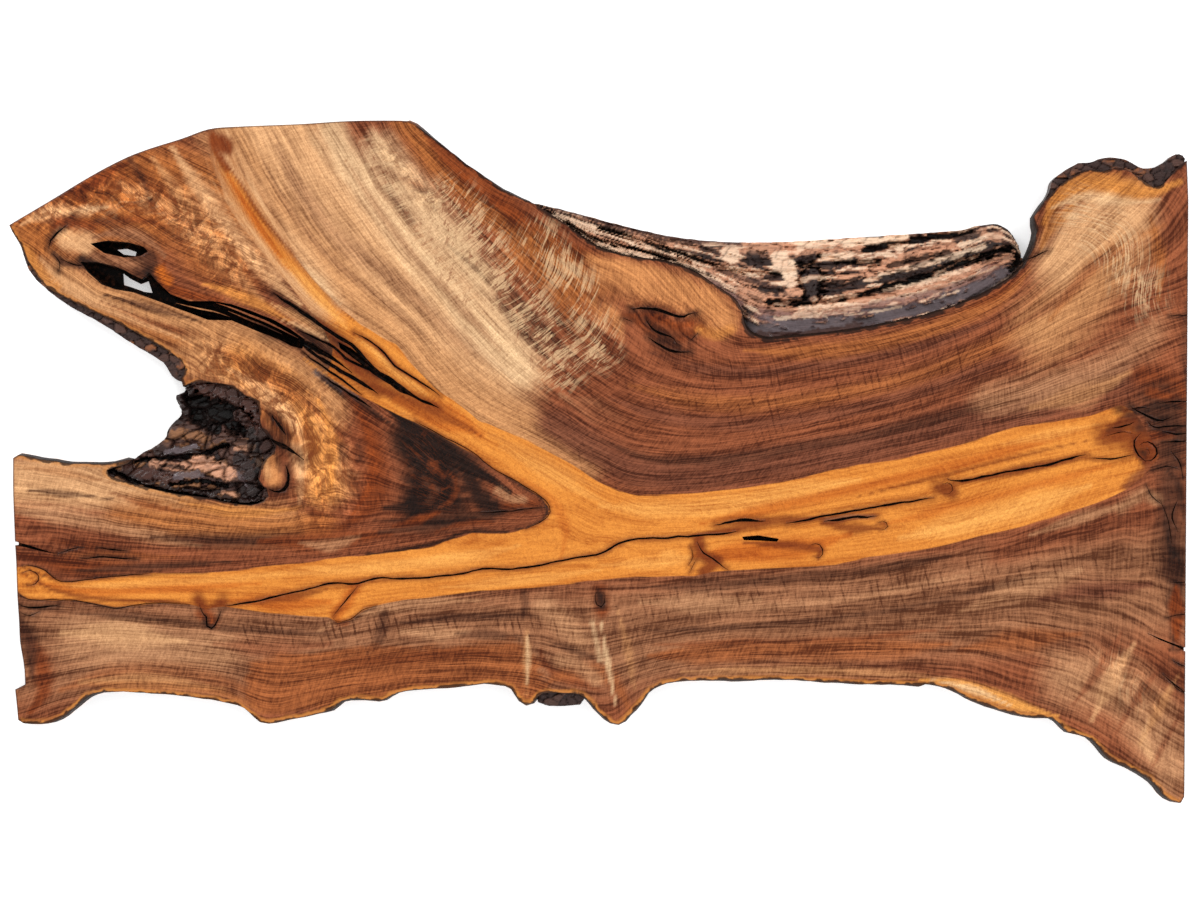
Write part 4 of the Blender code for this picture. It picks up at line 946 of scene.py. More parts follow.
def carve(obj, operation, *others):
    """Boolean steps on the object, applied at once. The other bodies are used up."""
    for other in others:
        modifier = obj.modifiers.new(other.name, "BOOLEAN")
        modifier.operation = operation
        modifier.solver = "MANIFOLD"
        modifier.object = other
    graph = bpy.context.evaluated_depsgraph_get()
    done = bpy.data.meshes.new_from_object(obj.evaluated_get(graph))
    obj.modifiers.clear()
    old, obj.data = obj.data, done
    bpy.data.meshes.remove(old)
    for other in others:
        bpy.data.meshes.remove(other.data)
    if not done.polygons:
        raise RuntimeError(f"{obj.name}: nothing is left after the {operation.lower()} step")


def crack_cutter(name, cracks):
    """One body that cuts a set of tapering cracks, with ragged sides and a sharp bottom."""
    # Each crack wanders by about a plan unit, and its foot is a fifth as wide as its mouth.
    bm = bmesh.new()
    for number, (width, depth, line) in enumerate(cracks):
        curve = smooth_line(line, 5)
        along = np.arange(len(curve)) * 1.0
        curve[1:-1, 1] += 2.4 * clouds(along[1:-1] / 2.3, along[1:-1] * 0 + number, 5)
        side = sides_of(curve)
        reach = 3.0 if width < 5 else len(curve) / 2
        taper = np.clip(np.minimum(along, along[::-1]) / reach, 0.12, 1)
        half = (width / 2 * taper * (1 + 0.9 * clouds(along / 1.7, along * 0 + number, 11)))[:, None]
        mouth = np.vstack([curve + side * half, (curve - side * half)[::-1]])
        foot = np.vstack([curve + side * half * 0.2, (curve - side * half * 0.2)[::-1]])
        add_prism(bm, mouth, TOP - depth / 1000, TOP + 0.002, foot)
    return as_object(name, bm)


# Values and settings that many shader nodes share.
WHITE = (1.0, 1.0, 1.0, 1.0)
EASED = {"interpolation_type": "SMOOTHSTEP"}
PRODUCT = {"operation": "MULTIPLY"}
SCALED_SUM = {"operation": "MULTIPLY_ADD"}
COLOURS = {"data_type": "RGBA"}


def connect(tree, made, inputs):
    """Gives a node's inputs, in order or by name or number, values or links to other nodes' outputs."""
    for key, value in inputs.items() if isinstance(inputs, dict) else enumerate(inputs):
        if isinstance(value, bpy.types.NodeSocket):
            tree.links.new(value, made.inputs[key])
        else:
            made.inputs[key].default_value = value


def node(tree, kind, inputs=(), output=0, **settings):
    """Adds a shader node with its settings and inputs, and gives one of its outputs."""
    made = tree.nodes.new("ShaderNode" + kind)
    for key, value in settings.items():
        setattr(made, key, value)
    connect(tree, made, inputs)
    return made.outputs[output]


def new_material(name):
    """An empty material, its node tree, its shader, and the function that adds a node to it."""
    material = bpy.data.materials.new(name)
    material.use_nodes = True
    tree = material.node_tree
    return material, tree, tree.nodes["Principled BSDF"], partial(node, tree)


def stretched_noise(tree, coordinates, size, detail=3.0, turn=0.0, distortion=0.0):
    """Noise whose features have a given length and width in millimetres, turned from the grain."""
    placed = node(tree, "Mapping", {"Vector": coordinates, "Rotation": (0, 0, turn), "Scale": (*size, 8.0)},
                  vector_type="TEXTURE")
    return node(tree, "TexNoise", {"Vector": placed, "Scale": 1.0, "Detail": detail, "Roughness": 0.55,
                                   "Distortion": distortion})


def variation(tree, *patterns):
    """The sum of patterns, each one eased from its own range to the range it adds."""
    total = 0.0
    for pattern, low, high, first, last in patterns:
        part = node(tree, "MapRange", (pattern, low, high, first, last), **EASED)
        total = node(tree, "Math", (total, part))
    return total


def shaded(tree, colour, level, dark, light, share=1.0):
    """A colour times a tint, which is dark at level 0, none at 0.5 and light at 1."""
    tint = node(tree, "ValToRGB", (level,))
    ramp = tint.node.color_ramp
    ramp.elements[0].color = (*dark, 1)
    ramp.elements[1].color = (*light, 1)
    ramp.elements.new(0.5).color = (1, 1, 1, 1)
    return node(tree, "Mix", {0: share, 6: colour, 7: tint}, 2, blend_type="MULTIPLY", **COLOURS)


def laid_over(tree, base, *layers):
    """A colour with others laid over it, each where its pattern is strong and inside its zone."""
    for colour, kind, zone, pattern, low, high, strength in layers:
        share = node(tree, "MapRange", (pattern, low, high, 0.0, strength), **EASED)
        share = node(tree, "Math", (share, zone), **PRODUCT)
        base = node(tree, "Mix", {0: share, 6: base, 7: (*colour, 1.0)}, 2, blend_type=kind, **COLOURS)
    return base


def saw_marks(tree, place):
    """The band saw's thin cross marks, 10.7 mm apart and straight across the slab, in worn patches."""
    turned = node(tree, "Mapping", {"Vector": place, "Rotation": (0, 0, -SAW_TURN)})
    # A wave texture repeats every 0.314 of its own units.
    wave = node(tree, "TexWave", {"Vector": turned, "Scale": 0.314 / SAW_PITCH, "Distortion": 3.5,
                                  "Detail": 2.0, "Detail Scale": 0.5}, "Fac", wave_type="BANDS",
                bands_direction="X")
    patches = node(tree, "Mapping", {"Vector": place, "Rotation": (0, 0, SAW_TURN),
                                     "Scale": (0.012, 0.045, 1.0)}, vector_type="TEXTURE")
    patch = node(tree, "TexNoise", {"Vector": patches, "Scale": 1.0, "Detail": 2.0})
    mark = node(tree, "MapRange", (wave, 0.66, 0.98), **EASED)
    worn = node(tree, "MapRange", (patch, 0.44, 0.62), **EASED)
    return node(tree, "Math", (mark, worn), **PRODUCT)


def heartwood(tree, colours, place, grain, marks):
    """The dark wood's colour, with two of its patterns: the fine streaks and the pores."""
    add = partial(node, tree)
    tone = add("Attribute", (), "Color", attribute_name="tone")
    hatched, burled, combed = [
        add("Attribute", (), "Fac", attribute_name=name) for name in ("hatched", "burled", "combed")
    ]
    # Growth bands 13 mm wide, streaks 2.4 mm wide, thin dark lines, and open pores.
    wide = stretched_noise(tree, grain, (260, 13), 2.0, distortion=0.4)
    fine = stretched_noise(tree, grain, (70, 2.4), 4.0)
    lines = stretched_noise(tree, grain, (150, 2.2), 1.0)
    pores = stretched_noise(tree, grain, (8, 1.2), 2.0)
    cross = stretched_noise(tree, grain, (3.2, 26), 2.0, turn=0.3)
    level = variation(
        tree,
        (wide, 0.25, 0.75, -0.23, 0.23), (fine, 0.25, 0.75, -0.26, 0.26), (cross, 0.25, 0.75, -0.13, 0.13),
        (lines, 0.60, 0.72, 0.0, -0.16), (pores, 0.60, 0.74, 0.0, -0.22),
    )
    # Saw marks show most where the grain is combed. All of it shows more on dark wood than on pale wood.
    mark_depth = add("Math", (combed, -0.30, -0.10), **SCALED_SUM)
    level = add("Math", (marks, mark_depth, level), **SCALED_SUM)
    light = add("RGBToBW", (tone,))
    contrast = add("MapRange", (light, 0.04, 0.38, 1.65, 0.72), **EASED)
    level = add("Math", (level, contrast, 0.5), **SCALED_SUM)
    wood = shaded(tree, tone, level, (0.34, 0.25, 0.20), (1.60, 1.70, 1.75))

    # Feathery pale strokes 5 mm wide where the grain dives, in patches, with dark flecks between them.
    reach = add("MapRange", (hatched, 0.0, 0.60), **EASED)
    patch = add("TexNoise", {"Vector": place, "Scale": 22.0, "Detail": 2.0})
    dense = add("MapRange", (patch, 0.35, 0.65, -0.08, 0.06), **EASED)
    dense = add("Math", (hatched, 0.08, dense), **SCALED_SUM)
    steep = stretched_noise(tree, grain, (34, 5.2), 4.0, turn=1.95, distortion=1.1)
    flecks = stretched_noise(tree, grain, (22, 4.4), 3.0, turn=2.5, distortion=1.0)
    wood = laid_over(
        tree, wood,
        (colours.cream, "MIX", reach, add("Math", (steep, dense)), 0.49, 0.66, 0.66),
        (colours.heart, "MIX", reach, flecks, 0.55, 0.66, 0.62),
    )

    # Burl: curled mottles about 20 mm across, then dark and pale feathered strokes 4 mm wide where the
    # grain curls, and small dark eyes 8 mm across.
    mottle = add("TexNoise", {"Vector": place, "Scale": 40.0, "Detail": 4.0, "Roughness": 0.55,
                              "Distortion": 0.9})
    mottle = add("MapRange", (mottle, 0.40, 0.60), **EASED)
    mottled = add("Math", (burled, 0.85), **PRODUCT)
    wood = shaded(tree, wood, mottle, (0.40, 0.25, 0.16), (1.58, 1.58, 1.52), mottled)
    feather = stretched_noise(tree, grain, (26, 4.2), 3.0, turn=0.4, distortion=0.9)
    plume = stretched_noise(tree, grain, (24, 4.8), 3.0, turn=1.3, distortion=1.0)
    eyes = add("TexNoise", {"Vector": place, "Scale": 70.0, "Detail": 2.0, "Distortion": 0.7})
    wood = laid_over(
        tree, wood,
        (colours.mahogany, "MIX", burled, feather, 0.50, 0.62, 0.55),
        ((1.55, 1.50, 1.42), "MULTIPLY", burled, plume, 0.52, 0.64, 0.75),
        (colours.mahogany, "MIX", burled, eyes, 0.61, 0.69, 0.65),
    )
    return wood, burled, fine, pores


def sapwood(tree, sap_grain, marks):
    """The pale wood's colour: close faint streaks, and the saw's marks."""
    wide = stretched_noise(tree, sap_grain, (240, 11), 2.0)
    fine = stretched_noise(tree, sap_grain, (80, 2.2), 4.0)
    cross = stretched_noise(tree, sap_grain, (5, 30), 2.0, turn=0.25)
    level = variation(
        tree,
        (wide, 0.25, 0.75, -0.24, 0.24), (fine, 0.25, 0.75, -0.18, 0.18), (cross, 0.25, 0.75, -0.12, 0.12),
    )
    level = node(tree, "Math", (marks, -0.07, level), **SCALED_SUM)
    level = node(tree, "Math", (level, 0.5))
    tone = node(tree, "Attribute", (), "Color", attribute_name="sap_tone")
    return shaded(tree, tone, level, (0.58, 0.38, 0.24), (1.22, 1.34, 1.45))


def oiled_walnut(colours):
    """Black walnut, sanded and oiled: open pores, growth bands, saw marks, figure, and a satin sheen."""
    material, tree, shader, add = new_material("oiled_walnut")
    grain, sap_grain = [
        add("Attribute", (), "Vector", attribute_name=name) for name in ("grain", "sap_grain")
    ]
    band, edge, live, rim_zone = [
        add("Attribute", (), "Fac", attribute_name=name) for name in ("band", "edge", "live", "rim")
    ]
    place = add("TexCoord", (), "Object")
    height = add("SeparateXYZ", (place,), "Z")
    marks = saw_marks(tree, place)
    wood, burled, fine, pores = heartwood(tree, colours, place, grain, marks)

    # The sapwood's border is crisp, and wavers along the grain by 1 or 2 mm.
    waver = stretched_noise(tree, sap_grain, (80, 12), 2.0)
    waver = add("MapRange", (waver, 0.3, 0.7, -0.7, 0.7), **EASED)
    pale = add("MapRange", (add("Math", (band, waver)), -0.7, 0.9), **EASED)
    face = add("Mix", {0: pale, 6: wood, 7: sapwood(tree, sap_grain, marks)}, 2, **COLOURS)

    # A close grain of 4 mm specks over everything, and thin curling lines 10 mm apart, strongest in burl.
    specks = add("TexNoise", {"Vector": place, "Scale": 260.0, "Detail": 2.0, "Distortion": 1.5})
    specks = add("MapRange", (specks, 0.30, 0.70), **EASED)
    face = shaded(tree, face, specks, (0.85, 0.81, 0.78), (1.11, 1.14, 1.15))
    curl = add("TexNoise", {"Vector": place, "Scale": 95.0, "Detail": 1.0, "Distortion": 2.2})
    curl = add("Math", (add("Math", (curl, -0.5)),), operation="ABSOLUTE")
    curl_zone = add("Math", (burled, 0.10, 0.18), **SCALED_SUM)

    # A thin honey rim of sapwood under the bark line, and a dark line at the very edge. The sawn sides
    # have a thin brown line along the face.
    ragged = add("TexNoise", {"Vector": place, "Scale": 55.0, "Detail": 4.0})
    rim = add("Math", (edge, add("MapRange", (ragged, 0.3, 0.7, -1.5, 1.5), **EASED)))
    broken = add("MapRange", (ragged, 0.40, 0.55, 0.35, 0.9), **EASED)
    honey_zone = add("Math", (broken, rim_zone), **PRODUCT)
    sawn = add("Math", (1.0, live), operation="SUBTRACT")
    face = laid_over(
        tree, face,
        (colours.mahogany, "MIX", curl_zone, curl, 0.022, 0.004, 1.0),
        (colours.honey, "MIX", honey_zone, rim, 5.5, 2.5, 1.0),
        (colours.black_brown, "MIX", live, rim, 2.4, 0.8, 0.85),
        (colours.deep_brown, "MIX", sawn, edge, 1.8, 0.5, 0.7),
    )

    # Walls: black in the cracks, the wood's dark inside deepened with painted shade below the face, dark
    # brown down the live side, and sawn brown on the ends.
    below_face = add("MapRange", (height, TOP - 0.0006, TOP - 0.0022), **EASED)
    above_foot = add("MapRange", (height, 0.0006, 0.0016), **EASED)
    on_wall = add("Math", (below_face, above_foot), **PRODUCT)
    inner = add("MapRange", (edge, 5.0, 6.0), **EASED)
    outer = add("Math", (1.0, inner), operation="SUBTRACT")
    outer_wall = add("Math", (on_wall, outer), **PRODUCT)
    fibres = add("Mapping", {"Vector": place, "Scale": (160.0, 160.0, 22.0)})
    fibre = add("TexNoise", {"Vector": fibres, "Scale": 1.0, "Detail": 5.0})
    side_share = add("MapRange", (fibre, 0.35, 0.7), **EASED)
    side_tone = add("Mix", {0: side_share, 6: (*colours.black_brown, 1.0), 7: (*colours.side, 1.0)}, 2,
                    **COLOURS)
    hollow_share = add("MapRange", (fibre, 0.45, 0.75, 0.0, 0.8), **EASED)
    hollow_tone_and_shade = add("Mix", {0: hollow_share, 6: (*colours.crack, 1.0), 7: (*colours.deep_brown, 1.0)}, 2,
                      **COLOURS)
    half_sawn = add("Math", (sawn, 0.55), **PRODUCT)
    for wall, zone, tone in (
        (on_wall, inner, hollow_tone_and_shade), (outer_wall, live, side_tone), (outer_wall, half_sawn, side_tone),
    ):
        share = add("Math", (wall, zone), **PRODUCT)
        face = add("Mix", {0: share, 6: face, 7: tone}, 2, **COLOURS)

    bumps = variation(tree, (pores, 0.60, 0.74, 0.0, -0.6))
    wall_fibre = add("Math", (fibre, on_wall), **PRODUCT)
    for pattern, strength in ((fine, 0.5), (marks, -0.8), (wall_fibre, 6.0)):
        bumps = add("Math", (pattern, strength, bumps), **SCALED_SUM)
    smooth = add("MapRange", (fine, 0.3, 0.7, 0.34, 0.48), **EASED)
    connect(tree, shader, {
        "Base Color": face,
        "Roughness": add("Math", (on_wall, 0.3, smooth), **SCALED_SUM),
        "Normal": add("Bump", {"Strength": 0.35, "Distance": 0.0004, "Height": bumps}),
        "IOR": 1.5,
        "Specular IOR Level": 0.12,
        "Coat Weight": 0.03,
        "Coat Roughness": 0.30,
    })
    return material


def walnut_bark(name, gloss):
    """Walnut bark, dry and split: matt ridges, and a harder shine on its old inner skin."""
    material, tree, shader, add = new_material(name)
    grain = add("Attribute", (), "Vector", attribute_name="grain")
    tone = add("Attribute", (), "Color", attribute_name="tone")
    skin = add("Attribute", (), "Fac", attribute_name="skin")
    place = add("TexCoord", (), "Object")
    # Fibres 1.6 mm wide and 30 mm long, and flakes of 4 mm.
    fibre = stretched_noise(tree, grain, (30, 1.6), 5.0, distortion=0.6)
    flakes = add("TexNoise", {"Vector": place, "Scale": 220.0, "Detail": 5.0, "Roughness": 0.65})
    level = variation(tree, (fibre, 0.25, 0.75, -0.17, 0.17), (flakes, 0.3, 0.7, -0.09, 0.09))
    level = add("Math", (level, 0.5))
    strength = add("MapRange", (skin, 0.0, 1.0, 1.0, 0.3), **EASED)
    heights = add("Math", (fibre, flakes))
    connect(tree, shader, {
        "Base Color": shaded(tree, tone, level, (0.26, 0.20, 0.19), (1.42, 1.44, 1.46)),
        "Roughness": add("MapRange", (skin, 0.0, 1.0, 0.58, gloss), **EASED),
        "Normal": add("Bump", {"Strength": strength, "Distance": 0.0013, "Height": heights}),
        "IOR": 1.5,
        "Specular IOR Level": 0.36,
    })
    return material


def edge_of_face():
    """The sanded face's edge as one closed line, with the kind of each of its pieces."""
    line, kinds = [], []
    for kind, points in EDGE_STRETCHES:
        line += points
        kinds += [kind] * len(points)
    return np.array(line, float), np.array(kinds)


def zone_share(places, strokes):
    """How far each place belongs to a zone brushed on the plan, from 0 to 1."""
    found = np.zeros(len(places))
    for half_width, softness, strength, line in strokes:
        gap, _ = gap_to(places, smooth_line(line, 14))
        found = np.maximum(found, np.clip((half_width - gap) / (half_width * softness), 0, 1) * strength)
    return found


def dress_wood(mesh, colours):
    """Gives the wood's mesh its colours, its grain and the distances that its material reads."""
    places, heights = shape_points(mesh)
    upper = grain_field(places, UPPER_GRAIN, 1900, 300)
    lower = grain_field(places, LOWER_GRAIN, 1800, 170) + (0, 900)
    fork = grain_field(places, FORK_GRAIN, 800, 330) + (0, 2000)
    sap_grain = grain_field(places, SAP_GRAIN, 1700, 170)
    split = [(205, 100), (214, 170), (250, 226), (300, 290), (330, 350), (440, 425), (549, 511)]
    low_line = smooth_line([(0, 590), *LOWER_GRAIN[0][1][1:], (1200, 455)], 20)
    is_lower = places[:, 1] > np.interp(places[:, 0], low_line[:, 0], low_line[:, 1]) - 12
    is_fork = is_inside(places, [*split, (549, 516), (450, 560), (200, 592), (0, 592), (0, 100)])
    grain = np.where(is_lower[:, None], lower, np.where(is_fork[:, None], fork, upper))
    swirl = np.array([clouds(places[:, 0] / 60, places[:, 1] / 60, seed) for seed in (3, 9)]).T
    burled = zone_share(places, BURLED)
    grain = grain + swirl * (20, 8) + swirl[:, ::-1] * (60, 50) * burled[:, None]
    drift = clouds(grain[:, 0] / 55, grain[:, 1] / 5, 21)
    drift += 0.6 * clouds(grain[:, 0] / 160, grain[:, 1] / 22, 27)
    sap_drift = clouds(sap_grain[:, 0] / 55, sap_grain[:, 1] / 4, 31)

    tone = brush(plain_tone(places, colours, "heart"), places, drift, WOOD_STROKES, colours)
    sap_tone = brush(plain_tone(places, colours, "amber"), places, sap_drift, SAP_STROKES, colours)
    # A dark stain has crept into the wood on both sides of each crack.
    stain = np.zeros(len(places))
    for width, _, line in [crack for cracks in CRACKS for crack in cracks]:
        gap, _ = gap_to(places, smooth_line(line, 8))
        reach = 2.2 + 1.1 * width
        stain = np.maximum(stain, np.clip(1 - (gap - width / 2 + 3 * drift) / reach, 0, 1))
    stain = (stain**1.4)[:, None]
    tone += (np.array(colours.deep_brown[:3]) * 0.7 - tone) * stain * 0.7
    sap_tone += (np.array(colours.rust[:3]) * 0.9 - sap_tone) * stain * 0.7

    line, kinds = edge_of_face()
    gap, which = gap_to(places, line, closed=True)
    band, _ = gap_to(places, SAPWOOD, closed=True)
    band *= np.where(is_inside(places, SAPWOOD), 1, -1)
    # The streak from the top edge fades in, and the wide band has a crisp border.
    band *= np.clip((places[:, 1] - 250) / 60, 0.14, 1)
    is_live = kinds[which.astype(int)] != "sawn"
    rim = np.where((places[:, 1] > 600) & is_live, 1.0, np.where(places[:, 0] < 200, 0.5, 0.0))
    keep(mesh, "tone", "FLOAT_COLOR", tone)
    keep(mesh, "sap_tone", "FLOAT_COLOR", sap_tone)
    keep(mesh, "grain", "FLOAT_VECTOR", np.c_[grain, heights * 1000])
    keep(mesh, "sap_grain", "FLOAT_VECTOR", np.c_[sap_grain, heights * 1000])
    keep(mesh, "band", "FLOAT", np.clip(band, -40, 40))
    keep(mesh, "hatched", "FLOAT", zone_share(places, HATCHED))
    keep(mesh, "burled", "FLOAT", burled)
    keep(mesh, "combed", "FLOAT", zone_share(places, COMBED))
    keep(mesh, "edge", "FLOAT", np.minimum(gap, 40))
    keep(mesh, "live", "FLOAT", is_live * 1.0)
    keep(mesh, "rim", "FLOAT", rim * is_live)


def cells(x, y, seed):
    """Irregular cells one unit wide: how deep inside its cell each place is, and the cell's own number."""
    ix, iy = np.floor(x).astype(np.int64), np.floor(y).astype(np.int64)
    first, second = np.full(len(x), 9.0), np.full(len(x), 9.0)
    number = np.zeros(len(x))
    for dx in (-1, 0, 1):
        for dy in (-1, 0, 1):
            cx, cy = ix + dx, iy + dy
            gap = np.hypot(cx + lattice(cx, cy, seed) - x, cy + lattice(cx, cy, seed + 1) - y)
            closer = gap < first
            second = np.where(closer, first, np.minimum(second, gap))
            number = np.where(closer, lattice(cx, cy, seed + 2), number)
            first = np.where(closer, gap, first)
    return second - first, number


def lay_bark(places, colours, strokes, tone, level, rough, drift):
    """Brushes plates, clefts darkened with painted shade, skins and painted highlights over the bark: its
    colour, its height and its shine.
    """
    skin = np.zeros(len(places))
    for colour, half_width, softness, strength, height, shine, line in strokes:
        gap = gap_to(places, smooth_line(line, 6))[0] + drift * (half_width + 3)
        share = np.clip((half_width * 1.1 - gap) / (half_width * (softness * 0.4 + 0.1)), 0, 1)
        share = eased(share) * strength
        tone = tinted(tone, colours, colour, share)
        level = level + (height / 1000 - level) * share
        skin = skin + (shine - skin) * share
    return level + rough * (1 - 0.85 * skin), tone, skin


def saddle_relief(places, colours):
    """The saddle's bark: a smooth trough by the wood, split inner bark, and long dark ridges outside."""
    edge, foot = np.array(SADDLE[1]), np.array(SADDLE_FOOT)
    top = np.interp(places[:, 0], edge[:, 0], edge[:, 1])
    low = np.interp(places[:, 0], foot[:, 0], foot[:, 1])
    across = (places[:, 1] - top) / np.maximum(low - top, 8) * 130
    along = places[:, 0] * MM
    wander = 9 * clouds(along / 90, across / 40, 41)
    plate, number = cells((along + wander) / 46, (across + wander) / 12, 43)
    ridge = clouds(along / 60, (across + wander) / 4.5, 47, 4)
    chip = clouds(along / 9, across / 5, 51)
    flake = clouds(along / 36, (across + wander) / 9, 53, 4)
    flaked = np.clip((flake - 0.06) / 0.02, 0, 1)
    rimmed = np.clip(1 - np.abs(flake - 0.052) / 0.016, 0, 1)
    cleft = np.clip((-0.15 - flake) / 0.03, 0, 1)
    split = np.clip(plate / 0.16, 0, 1) - 1
    rough = 0.008 * ridge + 0.0016 * chip + 0.005 * (number - 0.5) + 0.003 * split
    rough += 0.003 * flaked - 0.005 * cleft
    tone = plain_tone(places, colours, "bark_dark")
    tone = tinted(tone, colours, "bark_brown", (0.5 + 2 * ridge) * 0.8)
    tone = tinted(tone, colours, "inner_bark", ((number - 0.62) / 0.06) * (0.6 + 3 * chip) * 0.9)
    height, tone, skin = lay_bark(places, colours, SADDLE_STROKES, tone, np.full(len(places), 0.039), rough,
                                  1.1 * ridge + 0.9 * chip)
    matt = 1 - np.clip(skin * 1.6, 0, 1)
    tone = tinted(tone, colours, "inner_bark", flaked * 0.7 * matt)
    tone = tinted(tone, colours, "pale_bark_and_highlight", np.clip((flake - 0.12) / 0.02, 0, 1) * matt * 0.9)
    # Dark bark with painted shade in the clefts, along the flakes' rims and in the splits between plates.
    tone = tinted(tone, colours, "bark_dark", np.maximum(rimmed * 0.75, cleft * 0.9) * matt)
    tone = tinted(tone, colours, "bark_dark", (-split - 0.45) * 1.1 * matt)
    return height, tone, np.c_[along, across + wander, height * 1000], np.maximum(skin, flaked * 0.45)


def pocket_relief(places, colours):
    """The fork's bark: chunky plates, chipped to their tan inside, round a deep hollow painted black as
    shade, with painted reflections on its glossy plates.
    """
    x, y = places[:, 0] * MM, places[:, 1] * MM
    x, y = x * 0.95 - y * 0.3, x * 0.3 + y * 0.95
    wander = 10 * clouds(x / 30, y / 30, 71)
    plate, number = cells((x + wander) / 50, (y - wander) / 23, 73)
    small, small_number = cells((x - wander) / 23, (y + wander) / 12, 79)
    chip = clouds(x / 7, y / 5, 83)
    split, small_split = np.clip(plate / 0.2, 0, 1) - 1, np.clip(small / 0.2, 0, 1) - 1
    rough = 0.012 * (number - 0.5) + 0.007 * (small_number - 0.5) + 0.0012 * chip + 0.005 * split
    rough += 0.003 * small_split
    tone = plain_tone(places, colours, "bark_dark")
    tone = tinted(tone, colours, "bark_brown", (number - 0.45) * 2)
    tone = tinted(tone, colours, "plum", (small_number < 0.3) * 0.8)
    chipped = (small_number > 0.72) * (places[:, 1] > 436) * (places[:, 0] < 262)
    tone = tinted(tone, colours, "chip_brown", chipped * 0.85)
    height, tone, skin = lay_bark(places, colours, POCKET_STROKES, tone, np.full(len(places), 0.036), rough,
                                  0.9 * chip)
    # Dark bark with painted shade in the splits between plates.
    tone = tinted(tone, colours, "bark_dark", -split * 0.9 * (1 - skin))
    tone = tinted(tone, colours, "bark_dark", -small_split * 0.6 * (1 - skin))
    return height, tone, np.c_[x, y, height * 1000], np.clip(skin + 0.25, 0, 1)


def strip_relief(places, colours):
    """A thin strip of bark, dark and crumbled, a little below the sanded face."""
    x, y = places[:, 0] * MM, places[:, 1] * MM
    plate, number = cells(x / 16, y / 11, 91)
    chip = clouds(x / 6, y / 5, 93)
    height = 0.0445 + 0.004 * (number - 0.5) + 0.004 * chip + 0.003 * (np.clip(plate / 0.2, 0, 1) - 1)
    tone = plain_tone(places, colours, "bark_dark")
    tone = tinted(tone, colours, "plum", np.full(len(places), 0.3))
    tone = tinted(tone, colours, "bark_brown", (number - 0.45) * 3)
    tone = tinted(tone, colours, "warm_brown", (number > 0.84) * (0.2 + 2 * chip))
    # Dark bark with painted shade in the splits between plates.
    tone = tinted(tone, colours, "bark_dark", 1 - plate / 0.15)
    return height, tone, np.c_[x, y, height * 1000], np.full(len(places), 0.2)


def make_bark(name, shape, relief, cell, colours, material):
    """A bark piece that stands for the CAD node of the same name, shaped and coloured by its relief."""
    outside = smooth_line(shape[1], 4)
    bumps = 1.3 * clouds(outside[:, 0] / 7, outside[:, 1] / 7, 101) - 0.4
    outline = np.vstack([outside + sides_of(outside) * bumps[:, None], np.array(shape[2], float)])
    corners = [plan(*p) for p in outline]
    low = [min(c[k] for c in corners) - 0.004 for k in (0, 1)] + [BARK_FOOT]
    high = [max(c[k] for c in corners) + 0.004 for k in (0, 1)] + [TOP]

    def height_at(places):
        """The bark's height, kept under the sanded face and over the underside."""
        return np.clip(relief(places, colours)[0], 0.004, TOP - BARK_TOP_INSET)

    body = gridded_block(name + "_shape", low, high, cell, height_at, cell * 3)
    bm = bmesh.new()
    add_prism(bm, outline, -0.01, TOP + 0.01)
    carve(body, "INTERSECT", as_object(name + "_trim", bm))
    mesh = body.data
    places, heights = shape_points(mesh)
    tops, tone, grain, skin = relief(places, colours)
    grain[:, 2] = heights * 1000
    wall = np.clip((tops - heights) / 0.006, 0, 1)
    keep(mesh, "tone", "FLOAT_COLOR", tinted(tone, colours, "bark_dark", wall * 0.7))
    keep(mesh, "grain", "FLOAT_VECTOR", grain)
    keep(mesh, "skin", "FLOAT", skin)
    mesh.materials.clear()
    mesh.materials.append(material)
    mesh.shade_smooth()
    mesh.set_sharp_from_angle(angle=math.radians(50))
    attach(body, "root")
    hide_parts(name)
    return body


def colour_property(label, hex_colour):
    """A colour setting with its default given as a hex value."""
    return bpy.props.FloatVectorProperty(
        name=label, description=f"Colour of the {label.lower()}", subtype="COLOR", size=3, min=0.0, max=1.0,
        default=linear(hex_colour),
    )


